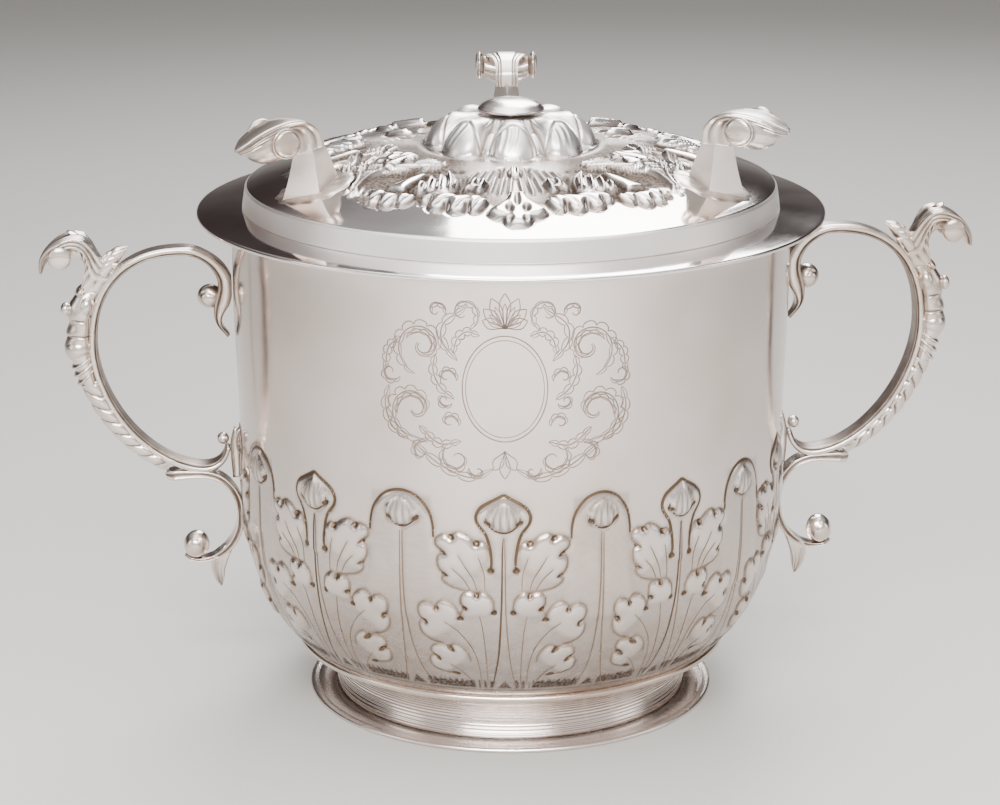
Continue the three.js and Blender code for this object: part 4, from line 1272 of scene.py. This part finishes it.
def hollows(verts, faces):
    """How deep in a hollow each vertex lies, from 0 to 1, for the tarnish that polishing leaves there."""
    pairs = np.vstack([np.stack([face, np.roll(face, -1, axis=1)], -1).reshape(-1, 2) for face in faces])
    pairs = np.vstack([pairs, pairs[:, ::-1]])
    count = np.maximum(np.bincount(pairs[:, 0], minlength=len(verts)), 1)
    normal = np.zeros((len(verts), 3))
    for face in faces:
        across = np.cross(verts[face[:, 2]] - verts[face[:, 0]], verts[face[:, -1]] - verts[face[:, 1]])
        for k in range(face.shape[1]):
            np.add.at(normal, face[:, k], across)
    normal /= np.maximum(np.linalg.norm(normal, axis=1), 1e-9)[:, None]
    gap = verts[pairs[:, 1]] - verts[pairs[:, 0]]
    length = np.linalg.norm(gap, axis=1)
    bend = np.einsum("ij,ij->i", gap, normal[pairs[:, 0]]) / np.maximum(length, 0.05) ** 2
    mean = np.bincount(pairs[:, 0], weights=bend, minlength=len(verts)) / count
    for _ in range(2):
        near = np.bincount(pairs[:, 0], weights=mean[pairs[:, 1]], minlength=len(verts)) / count
        mean = 0.5 * mean + 0.5 * near
    return smoothstep(mean, 0.015, 0.22)


def add_cast(name, body, solid, verts, faces, darkening=0.0, frost=0.15):
    """A cast piece with tarnish in its hollows and everywhere else a little, plus the darkening it is given:
    a dark joint at a stem's root, and painted shade on a scroll's finger side.
    """
    tarnish = np.clip(1.35 * hollows(verts, faces) + darkening + 0.1, 0, 0.94)
    layers = {"patina": tarnish, "frost": np.full(len(verts), frost)}
    return add_piece(name, body, [solid], cast, verts, faces, layers)


# Cover brackets, drawn in the plane of radius and height at their bearing
STEM_RIDGE = 62.8
NECK_HEIGHT = 167.17
LEAN_PIVOT = np.array([58.5, 161.67])
BRACKETS = [("front_left", 203.5, 10.5), ("front_right", 328.5, 0.0), ("back", 85.5, 4.0)]


def set_bracket(verts, bearing, lean):
    """Leans a bracket's points outward about its pivot and turns them to their bearing."""
    lean = np.radians(np.broadcast_to(lean, len(verts)))
    x, z = verts[:, 0] - LEAN_PIVOT[0], verts[:, 2] - LEAN_PIVOT[1]
    leaned_x = LEAN_PIVOT[0] + x * np.cos(lean) + z * np.sin(lean)
    leaned_z = LEAN_PIVOT[1] - x * np.sin(lean) + z * np.cos(lean)
    angle = math.radians(bearing)
    return np.stack([leaned_x * math.cos(angle) - verts[:, 1] * math.sin(angle),
                     leaned_x * math.sin(angle) + verts[:, 1] * math.cos(angle), leaned_z], 1)


def stem_mesh():
    """A four-sided flaring stem with its corners fore, aft and to the sides."""
    levels, columns = 46, 80
    down = np.linspace(0, 1, levels)[:, None]
    turn = full_turn(columns)[None, :]
    flare = down ** 1.7
    inner, outer, side = 4.3 + 7.7 * down, 4.3 + 5.3 * flare, 3.3 + 5.5 * flare
    power = 2 / 1.04
    c, s = signed_power(np.cos(turn), power), signed_power(np.sin(turn), power)
    x = STEM_RIDGE + c * np.where(c < 0, inner, outer)
    z = NECK_HEIGHT + 0.4 - down * 19.9
    return np.stack([x, s * side, z + 0 * turn], -1).reshape(-1, 3), [grid_faces(levels, columns)[:, ::-1]]


def foot_leaf_mesh():
    """The lobed leaf that spreads from the foot of a stem on to the cover."""
    rows, columns, lobe_count = 12, 180, 12
    turn = full_turn(columns)
    share = np.linspace(0.0, 1.0, rows)[:, None]
    lobes = 1 + 0.035 * np.cos(lobe_count * turn)
    fore, aside = np.where(np.cos(turn) > 0, 9.6, 12.6), 10.4
    x = STEM_RIDGE - 0.6 + np.cos(turn) * fore * lobes * (0.4 + 0.6 * share)
    y = np.sin(turn) * aside * lobes * (0.4 + 0.6 * share)
    height = crown_height(np.hypot(x, y))
    rise = 0.75 * np.sqrt(np.clip(1 - share ** 3, 0, 1)) - 0.1
    vein = 0.06 * np.cos(lobe_count * turn)[None, :] * np.sin(share * np.pi)
    return np.stack([x, y, height + rise + vein], -1).reshape(-1, 3), [grid_faces(rows, columns)]


# The strap's upper and lower line, out from the stem's ridge and up from its neck
STRAP_TOP = [
    (-4.3, -1.5), (-4.2, 0.6), (-3.5, 3.3), (-0.4, 6.2), (5.4, 7.5), (10.6, 7.1), (15.3, 5.7), (20.1, 3.4),
]
STRAP_UNDER = [
    (4.2, -1.5), (3.6, 0.6), (3.7, 2.4), (4.5, 4.4), (7, 5.4), (11.5, 5.0), (15.6, 3.7), (19.8, 2.3),
]


def strap_mesh():
    """A leaf-shaped strap with a raised panel that curls over from the stem's neck."""
    lines = [[(STEM_RIDGE + x, NECK_HEIGHT + z) for x, z in line] for line in (STRAP_TOP, STRAP_UNDER)]
    top, under = (spread_along(line, 60) for line in lines)
    out = top[:, 0] - STEM_RIDGE
    width = 3.4 + 2.6 * smoothstep(out, -3, 7) - 1.5 * smoothstep(out, 11, 19)
    width = width * np.sqrt(np.clip((20.5 - out) / 3.4, 0.02, 1))
    section = bar_section((0.76, 9), [
        (0.84, 0.0), (0.92, 0.06), (0.9, 0.2), (0.84, 0.3), (0.86, 0.4), (0.96, 0.5), (0.97, 0.6),
        (0.88, 0.7), (0.93, 0.78), (1.0, 0.86), (1.0, 0.95), (0.96, 1.0),
    ], (0.92, 47))

    def shape(share, v, t, thick):
        raised = t >= 0.99
        panel = smoothstep(0.5 - np.abs(v), -0.05, 0.05)
        grooves = bump(np.abs(v) - 0.52, 0.04) + 0.5 * bump(np.abs(v) - 0.74, 0.03)
        lip = bump(np.abs(v) - 0.94, 0.05)
        crown_rise = 0.75 * (1 - v ** 2) * smoothstep(share, 0.2, 0.5)
        fall = -1.0 * smoothstep(share, 0.05, 0.3) * np.clip(np.abs(v) - 0.5, 0, 1) ** 1.3 * (share < 0.75)
        lift = 0.3 * panel - 0.4 * grooves + 0.15 * lip + crown_rise + fall - 0.3
        hollow = 0.7 * (1 - (v / 0.84) ** 2) * (t <= 0) * smoothstep(share, 0.45, 0.6)
        return v, t + (raised * lift + hollow) / thick

    return loft(under, top, width, section, shape)


def volute_mesh():
    """A bar rolled under the strap, swelling between two flat rimmed discs."""
    ends = [
        (9.36, 0.02), (9.35, 1.0), (9.3, 2.0), (9.2, 2.8), (9.0, 3.35), (8.72, 3.6), (8.5, 3.62),
        (8.42, 3.75), (8.42, 3.95), (8.25, 4.15), (7.95, 4.15), (7.6, 3.8), (7.2, 3.35),
    ]
    body = [(y, 3.1 + 1.15 * (1 - (y / 6.8) ** 2)) for y in np.linspace(6.8, -6.8, 34)]
    profile = [*ends, *body, *mirror(ends)[::-1]]

    def middle(y):
        return np.clip(1 - np.clip(np.abs(y) / 7.4, 0, 1) ** 3, 0, 1)

    return spun((STEM_RIDGE + 8.8, NECK_HEIGHT + 3.7), profile, 52,
                lambda y: (2.5 * middle(y), -1.5 * middle(y)), lambda y: 1 + 0.45 * middle(y))


for name, bearing, lean in BRACKETS:
    stem, stem_faces = stem_mesh()
    bend = lean * smoothstep(stem[:, 2], NECK_HEIGHT - 5.5, NECK_HEIGHT)
    root_stain = 0.5 * smoothstep(153.2 - stem[:, 2], 0, 1.2)
    for piece, solid, (verts, faces), tilt, darkening, frost in (
            ("stem_cast", "stem", (stem, stem_faces), bend, root_stain, 0.85),
            ("foot_leaf", "stem", foot_leaf_mesh(), 0, 0.0, 0.4),
            ("strap_cast", "strap", strap_mesh(), lean, 0.0, 0.45),
            ("volute_cast", "volute", volute_mesh(), lean, 0.0, 0.3)):
        add_cast(f"bracket_{name}_{piece}", "cover", f"bracket_{name}_{solid}",
                 set_bracket(verts, bearing, tilt), faces, darkening, frost)


# Handles, drawn in the plane of radius and height for the right side: out from the mouth's wall, down from
# the rim
STRETCH_PIVOT = 69.0
BACK_OFFSET = 2.7


def spots(*points):
    """Radius and height of points given out from the mouth's wall and down from the rim."""
    return np.array([(MOUTH_RADIUS + out, RIM_HEIGHT - drop) for out, drop in points])


def corner(centre, half, power, start, end, count):
    """Points on a rounded oblong, from one angle to another."""
    angle = np.radians(np.linspace(start, end, count))
    c, s = np.cos(angle), np.sin(angle)
    out = centre[0] + half[0] * signed_power(c, 2 / power)
    drop = centre[1] - half[1] * signed_power(s, 2 / power)
    return list(zip(out, drop))


def finger_line():
    """The finger side of the main scroll with the share of the way along it that sets its thickness."""
    pieces = [
        (spread_along([(1.9, 34.2), (4.9, 30), (5.6, 25.4), (4.1, 19.4)], 29), 7),
        (corner((14.2, 19.4), (10.2, 9.9), 2, 180, 90, 25), 6),
        (corner((14.2, 36.3), (24.3, 26.8), 2.35, 90, 0, 41), 10),
        (corner((9.4, 36.3), (29.1, 36.0), 1.75, 360, 270, 57), 14),
        (corner((9.4, 65.3), (6.3, 7.0), 2.3, 270, 190, 25), 6),
    ]
    line, share, done = [], [], 0
    for points, steps in pieces:
        line.append(np.asarray(points)[:-1])
        share.append(done + steps * np.linspace(0, 1, len(points))[:-1])
        done += steps
    line, share = np.vstack(line), np.concatenate(share) / done
    smoothed = line.copy()
    for _ in range(6):
        smoothed[1:-1] = (smoothed[:-2] + 2 * smoothed[1:-1] + smoothed[2:]) / 4
    return spots(*smoothed), share


finger, finger_share = finger_line()
bow = finger[finger[:, 0] > MOUTH_RADIUS + 14.2]


def scroll_mesh():
    """The main scroll, thickest at its root and thinner round the bow."""
    thick = 0.9 + 3.4 * smoothstep(finger_share, 0.02, 0.13) - 1.9 * smoothstep(finger_share, 0.15, 0.26)
    thick = thick - 0.9 * smoothstep(finger_share, 0.86, 1)
    width = 2.0 + 1.5 * smoothstep(finger_share, 0, 0.07) - 1.0 * smoothstep(finger_share, 0.84, 0.99)
    far_line = beside(finger, thick)
    far_line[:, 0] = np.maximum(far_line[:, 0], MOUTH_RADIUS + 0.35)
    return loft(finger, far_line, width, HANDLE_SECTION)


def rib_mesh():
    """Twisted gadroons along the outside of the bow, between two heights given down from the rim."""
    start, end, count = 45.4, 70.6, 210
    drop = RIM_HEIGHT - bow[:, 1]
    line = spread_along(bow[(drop >= start) & (drop <= end)][::3], count)
    share = np.linspace(0, 1, count)
    near_line = beside(line, 1.3)
    far_line = beside(line, BACK_OFFSET + 4.5 - 1.8 * share)
    width = 3.95 - 0.25 * share - 1.6 * smoothstep(share, 0.88, 1)
    section = domed_section(np.linspace(-0.8, 0.8, 5), 0.12, 45)

    def shape(along, v, t, thick):
        angle = np.arctan2((t - 0.3) / 0.7, v) / np.pi
        phase = (along * 7.4 + 1.7 * angle) % 1
        lobe = np.sqrt(np.clip(1 - np.abs(2 * phase - 1) ** 2.6, 0, 1))
        swell = np.where(t > 0.15, 0.74 + 0.26 * lobe, 1.0)
        return v * swell, np.where(t > 0.15, 0.3 + (t - 0.3) * swell, t)

    return loft(near_line, far_line, width, section, shape)


def term_mesh():
    """Worn term on the back of the bow, kept as plain bosses and collars."""
    outer = spread_along([
        (42.2, 19.4), (43.8, 20.4), (45.0, 22.0), (46.2, 24.0), (46.5, 27.0), (46.2, 29.0), (46.9, 31.0),
        (47.2, 32.4), (46.6, 32.95), (47.0, 33.6), (47.8, 36.2), (47.2, 38.8), (45.8, 40.6), (44.9, 43.0),
        (44.2, 45.4), (43.2, 47.4),
    ], 120)
    inner = spread_along([
        (37.4, 20.2), (38.9, 22.4), (40.1, 26), (40.7, 30), (40.9, 34), (40.8, 38), (40.3, 42),
        (39.6, 45.4), (39.0, 47.4),
    ], 120)
    share = np.linspace(0, 1, 120)
    width = 2.8 + 1.0 * smoothstep(share, 0, 0.2) + 0.4 * np.sin(share * np.pi)
    section = domed_section((-0.75, 0, 0.75), 0.2, 37)

    def shape(along, v, t, thick):
        crease = bump(along - 0.475, 0.012) + 0.6 * bump(along - 0.315, 0.02)
        return v * (1 - 0.12 * crease), t

    made = [loft(spots(*inner), spots(*outer), width, section, shape)]
    lobes = [
        ((41.2, 24.2), (2.8, 4.6, 4.2), 14), ((47.0, 25.2), (1.5, 2.2, 2.0), 0),
        ((43.4, 29.8), (1.7, 4.1, 2.6), 12), ((43.5, 36.7), (4.2, 4.7, 3.9), 0),
        ((42.9, 40.7), (3.6, 4.7, 1.0), -32), ((42.3, 42.7), (3.9, 4.7, 1.1), -38),
        ((41.9, 45.0), (3.7, 4.4, 1.0), -46), ((42.7, 19.6), (1.9, 3.6, 1.1), -48),
    ]
    for centre, radii, tilt in lobes:
        made.append(bulb(centre, radii, tilt, 44, 28))
    return joined(*made)


def thumb_mesh():
    """The leaf that rises over the arch and curls back, where the thumb rests, with a small spur."""
    crest = spread_along([
        (31.6, 11.2), (33.4, 11.0), (35.6, 11.2), (37.2, 9.2), (39.2, 6.0), (41.4, 3.9), (43.9, 3.3),
        (46.6, 3.9), (49.6, 5.5), (52.4, 8.4), (53.7, 11.2), (53.75, 13.9),
    ], 110)
    under = spread_along([
        (38.6, 22.6), (41.4, 21.6), (42.7, 20.0), (41.9, 16.8), (41.1, 13.4), (41.5, 10.9), (43.2, 9.3),
        (45.2, 8.9), (47.8, 8.9), (50.2, 9.6), (52.0, 11.6), (53.0, 14.0),
    ], 110)
    share = np.linspace(0, 1, 110)
    width = 3.3 + 2.3 * smoothstep(share, 0.2, 0.45) - 1.9 * smoothstep(share, 0.62, 0.95)
    section = bar_section((0.56, 7), [
        (0.66, 0.05), (0.7, 0.3), (0.76, 0.46), (0.88, 0.53), (0.92, 0.58), (0.86, 0.64), (0.84, 0.67),
        (0.93, 0.71), (0.97, 0.76), (0.91, 0.81), (0.89, 0.84), (0.97, 0.88), (1.0, 0.93), (0.99, 0.98),
    ], (0.92, 45))

    def shape(along, v, t, thick):
        top = t >= 0.995
        reeds = 0.28 * np.cos(np.abs(v) * 19) * smoothstep(np.abs(v), 0.15, 0.4)
        jag = 0.25 * np.abs(np.sin(along * 34)) * smoothstep(np.abs(v), 0.8, 0.95) * (along < 0.8)
        lift = top * ((reeds + jag) * smoothstep(along, 0.2, 0.35) + 0.4 * (1 - v ** 2) - 0.35)
        fold = 0.08 * np.sin(along * 70 + t * 9) * (t > 0.03) * (t < 0.5) * smoothstep(0.55 - along, 0, 0.1)
        return v * (1 + fold), t + lift / thick

    leaf = loft(spots(*under), spots(*crest), width, section, shape)
    spur = bulb((44.2, 3.0), (1.9, 2.0, 0.55), 24, 24, 14)
    return joined(leaf, spur)


def blade(root, tip, half, side, bend):
    """One pointed blade of a leaf, lying in a plane beside the middle one."""
    root, tip = np.asarray(root, float), np.asarray(tip, float)
    along = (tip - root) / np.linalg.norm(tip - root)
    across = np.array([along[1], -along[0]])
    middle = (root + tip) / 2 + across * bend
    count = 22
    crest = spread_along([root + across * 1.0, middle + across * 1.2, tip + across * 0.08], count)
    under = spread_along([root - across * 1.3, middle - across * 1.3, tip - across * 0.08], count)
    share = np.linspace(0, 1, count)
    width = half * np.sqrt(np.clip(1 - share ** 2.2, 0.004, 1)) * (0.75 + 0.25 * np.sin(np.pi * share))
    outline = both_sides([(0.7, 0.0), (0.95, 0.25), (1.0, 0.55), (0.75, 0.9), (0.3, 1.25), (0, 0.95)])
    section = [outline[-1], *outline[:-1]]
    verts, faces = loft(spots(*under), spots(*crest), width, section)
    return verts + [0, side, 0], faces


# Blades of the sprig: root, tip, half width, place to the side, and bend
SIDE_BLADES = [
    ((36.4, 14.9), (32.6, 10.3), 1.1, 2.7, -0.4), ((35.6, 13.2), (31.4, 9.0), 1.2, 2.4, -0.5),
    ((34.4, 11.6), (29.9, 7.7), 1.2, 2.0, -0.5), ((36.2, 12.8), (33.2, 9.6), 1.2, 1.4, -0.3),
]
MIDDLE_BLADES = [((33.8, 10.6), (29.0, 7.1), 1.3, 0.0, -0.5), ((35.6, 11.6), (31.8, 8.2), 1.4, 0.0, -0.3)]


def sprig_mesh():
    """Pointed blades lying along the top of the arch in front of the thumb leaf."""
    made = [blade(root, tip, half, side * aside, bend)
            for side in (-1, 1) for root, tip, half, aside, bend in SIDE_BLADES]
    return joined(*made, *[blade(*middle) for middle in MIDDLE_BLADES])


def bobbin_mesh():
    """A turned bobbin across the curled end of the thumb leaf."""
    half = [
        (0.0, 2.2), (0.8, 2.3), (1.3, 2.6), (1.8, 2.3), (2.2, 2.2), (2.6, 2.6), (3.1, 2.5), (3.5, 2.95),
        (4.2, 3.3), (5.2, 3.35), (5.8, 3.0), (6.15, 2.2), (6.35, 1.2), (6.4, 0.02),
    ]
    profile = smooth_curve([*reversed(half), *mirror(half[1:])], 0.22)
    return spun(spots((47.9, 9.1))[0], profile, 40, lambda y: (0, 0), lambda y: 1 - 0.04 * np.abs(y) / 6)


def wound(turns, depth):
    """A groove that winds in towards the pole of a ball, as the end of a scroll does."""
    def relief(down, turn):
        pole = np.minimum(down, np.pi - down)
        phase = (turn / (2 * np.pi) + pole / np.pi * turns) % 1
        return -depth * bump(phase - 0.5, 0.08) * smoothstep(pole, 0.15, 0.45)
    return relief


def lower_mesh():
    """The lower bracket, from its curled foot round under the bow."""
    line = spread_along([
        (15.4, 100.2), (14.0, 101.0), (12.0, 101.4), (9.2, 101.1), (6.2, 99.7), (3.4, 97.0), (1.4, 93.6),
        (0.5, 90.0), (0.5, 86.4), (1.3, 83.0), (3.0, 80.0), (5.4, 77.8), (8.4, 76.6), (11.4, 76.3),
        (15.5, 76.4), (18.8, 76.6), (20.6, 76.6),
    ], 130)
    share = np.linspace(0, 1, 130)
    near_line = spots(*line)
    thick = 0.8 + 1.2 * smoothstep(share, 0.05, 0.3) + 0.5 * smoothstep(share, 0.8, 0.94)
    pinch = thick / 2 * (1 - np.sqrt(np.clip(1 - (smoothstep(share, 0.965, 1.0)) ** 2, 0.01, 1)))
    far_line = beside(near_line, thick - pinch)
    near_line = beside(near_line, pinch - 0.3 * smoothstep(share, 0.8, 0.94))
    far_line[:, 0] = np.maximum(far_line[:, 0], MOUTH_RADIUS - 1.2)
    width = 2.4 + 0.6 * smoothstep(share, 0.1, 0.3)
    width = width * np.sqrt(np.clip((1 - share) / 0.05, 0.02, 1)) * np.sqrt(np.clip(share / 0.04, 0.05, 1))
    return loft(near_line, far_line, width, LIPPED_SECTION)


def leaf_mesh(side_a, side_b, half, vein=0.5):
    """A hanging or rising leaf between two edges seen from the side."""
    count = 44
    edge_a, edge_b = spread_along(side_a, count), spread_along(side_b, count)
    share = np.linspace(0, 1, count)
    width = half * np.sqrt(np.clip((1 - share ** 1.5) * 1.3 + 0.01, 0, 1))
    section = bar_section((0.7, 7), [
        (0.8, 0.0), (0.93, 0.04), (0.97, 0.1), (0.9, 0.2), (0.84, 0.32), (0.86, 0.5), (0.84, 0.68),
        (0.9, 0.8), (0.99, 0.9), (0.97, 0.97),
    ], (0.88, 15))

    def shape(along, v, t, thick):
        lift = -vein * (t >= 0.99) * bump(v, 0.14) + 0.2 * (t >= 0.99) * (1 - v ** 2)
        return v, t + lift / np.maximum(thick, 0.8)

    return loft(spots(*edge_a), spots(*edge_b), width, section, shape)


# The back and front edge of two leaves, seen from the side
DROP_LEAF = (
    [(0.7, 94.6), (2.1, 98.6), (3.4, 102.0), (4.3, 105.1), (4.6, 108.0), (5.2, 110.6)],
    [(5.2, 98.8), (7.6, 100.8), (8.2, 103.4), (7.7, 106.6), (6.6, 109.0), (5.4, 110.7)],
)
RISING_LEAF = (
    [(-0.9, 76.6), (-0.8, 70), (-0.5, 65), (0.3, 61.8)],
    [(1.3, 76.5), (1.7, 70), (1.6, 66), (0.5, 61.6)],
)
HANDLE_PIECES = {
    "scroll": scroll_mesh(),
    "upper_ball": bulb((6.6, 22.3), (3.5, 3.9, 3.5), 0, 48, 30, wound(1.5, 0.06)),
    "curl_ball": bulb((3.9, 65.1), (1.75, 2.0, 1.75), 0, 28, 18),
    "rib": rib_mesh(),
    "term": term_mesh(),
    "thumb_leaf": joined(thumb_mesh(), sprig_mesh()),
    "thumb_bobbin": bobbin_mesh(),
    "lower_bracket": lower_mesh(),
    "lower_ball": bulb((12.3, 97.4), (3.75, 4.0, 4.2), 12, 48, 30, wound(1.2, 0.05)),
    "drop_leaf": leaf_mesh(*DROP_LEAF, 2.6),
    "rising_leaf": leaf_mesh(*RISING_LEAF, 2.4, vein=0.2),
}
# Each handle's side and how far its height is stretched
HANDLES = [("left", -1, 0.98), ("right", 1, 1.02)]


def finger_side_shade(verts):
    """Painted shade along the finger side: under the arch and inside the bow."""
    spot = verts[:, [0, 2]]
    apart = np.sqrt(((spot[:, None, :] - finger[None, :, :]) ** 2).sum(-1)).min(1)
    return 0.7 * smoothstep(0.75 - apart, 0, 0.5)


for side_name, side, stretch in HANDLES:
    for key, (verts, faces) in HANDLE_PIECES.items():
        # The scroll gets painted shade along its finger side
        darkening = finger_side_shade(verts) if key == "scroll" else 0.0
        placed = verts * [side, side, 1]
        placed[:, 2] = STRETCH_PIVOT + (placed[:, 2] - STRETCH_PIVOT) * stretch
        add_cast(f"handle_{side_name}_{key}_cast", "cup", f"handle_{side_name}_{key}", placed, faces, darkening)


# Every CAD node that still shows gets the cast silver
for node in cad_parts.values():
    node.data.materials.clear()
    node.data.materials.append(cast)


# Floor
def lay_floor():
    material, tree, shader, noise = new_material("floor_paper")
    shader.inputs["Metallic"].default_value = 0.0
    shader.inputs["Roughness"].default_value = 0.6
    paper = mixed(tree, noise(6.0), (0.42, 0.405, 0.385), (0.405, 0.39, 0.37))
    set_slot(tree, shader.inputs["Base Color"], paper)
    mesh = bpy.data.meshes.new("studio_floor")
    columns = np.linspace(-7, 7, 15)
    rows = np.linspace(-4, 8, 13)
    verts = [(x, y, 0.0) for y in rows for x in columns]
    mesh.from_pydata(verts, [], grid_faces(len(rows), len(columns), wrap=False).tolist())
    mesh.materials.append(material)
    floor = bpy.data.objects.new("studio_floor", mesh)
    bpy.context.scene.collection.objects.link(floor)


lay_floor()


# Lights

def softbox(name, place, aim, size, power, beam=180):
    light = bpy.data.lights.new(name, "AREA")
    light.shape = "RECTANGLE"
    light.size, light.size_y = size
    light.energy = power
    light.spread = math.radians(beam)
    made = bpy.data.objects.new(name, light)
    made.location = place
    made.rotation_euler = (Vector(aim) - Vector(place)).to_track_quat("-Z", "Y").to_euler()
    bpy.context.scene.collection.objects.link(made)


softbox("low_back_box", (0.13, 1.2, 0.70), (0, 0, 0.14), (0.28, 0.42), 0.5)
softbox("back_box", (0.21, 0.85, 0.98), (0, 0, 0.15), (0.48, 0.9), 9, beam=120)
softbox("overhead_box", (0.0, 0.0, 1.5), (0, 0.0, 0), (1.7, 1.6), 9.5, beam=75)
softbox("front_box", (-0.1, -1.1, 0.85), (0, -0.55, 0), (1.3, 0.5), 16, beam=62)
softbox("left_box", (-1.3, -0.3, 0.55), (0, 0, 0.1), (0.5, 0.7), 2)
softbox("right_box", (1.3, -0.3, 0.55), (0, 0, 0.1), (0.5, 0.7), 2)


# Colours of the air by height, from the horizon and all below it to straight above
AIR_BEHIND = [
    (0.0, 0.30, 0.28, 0.26), (0.14, 0.10, 0.085, 0.08), (0.24, 0.045, 0.035, 0.035),
    (0.42, 0.07, 0.055, 0.055), (0.58, 0.34, 0.33, 0.33), (1.0, 0.6, 0.6, 0.6),
]
AIR_BEFORE = [(0.0, 2.3, 2.24, 2.18), (0.16, 1.15, 1.12, 1.1), (0.45, 0.95, 0.93, 0.92), (1.0, 0.6, 0.6, 0.6)]


def air_ramp(tree, source, stops):
    ramp = add_node(tree, "ValToRGB", {"Fac": source})
    elements = ramp.color_ramp.elements
    elements.remove(elements[1])
    for index, (at, *colour) in enumerate(stops):
        element = elements.new(at) if index else elements[0]
        element.position = at
        element.color = (*colour, 1)
    return ramp.outputs["Color"]


def studio_air():
    """Bright air before the cup, and behind it a dark band above the horizon."""
    world = bpy.data.worlds.new("studio_air")
    bpy.context.scene.world = world
    world.use_nodes = True
    tree = world.node_tree
    where = add_node(tree, "TexCoord", {}).outputs["Generated"]
    split = add_node(tree, "SeparateXYZ", {"Vector": where})
    behind = air_ramp(tree, split.outputs["Z"], AIR_BEHIND)
    before = air_ramp(tree, split.outputs["Z"], AIR_BEFORE)
    inputs = {"Value": split.outputs["Y"], "From Min": -0.35, "From Max": 0.25}
    side = add_node(tree, "MapRange", inputs, interpolation_type="SMOOTHSTEP")
    air = mixed(tree, side.outputs["Result"], before, behind)
    set_slot(tree, tree.nodes["Background"].inputs["Color"], air)


studio_air()


# Camera at the photograph's viewing angle
lens = bpy.data.cameras.new("photo_camera")
lens.sensor_width = 36
lens.lens = 108.27
lens.clip_start = 0.05
lens.clip_end = 20
camera = bpy.data.objects.new("photo_camera", lens)
camera.location = (-0.0828, -0.8279, 0.3248)
camera.rotation_euler = (math.radians(73.88), 0, math.radians(-5.5))
bpy.context.scene.collection.objects.link(camera)
bpy.context.scene.camera = camera
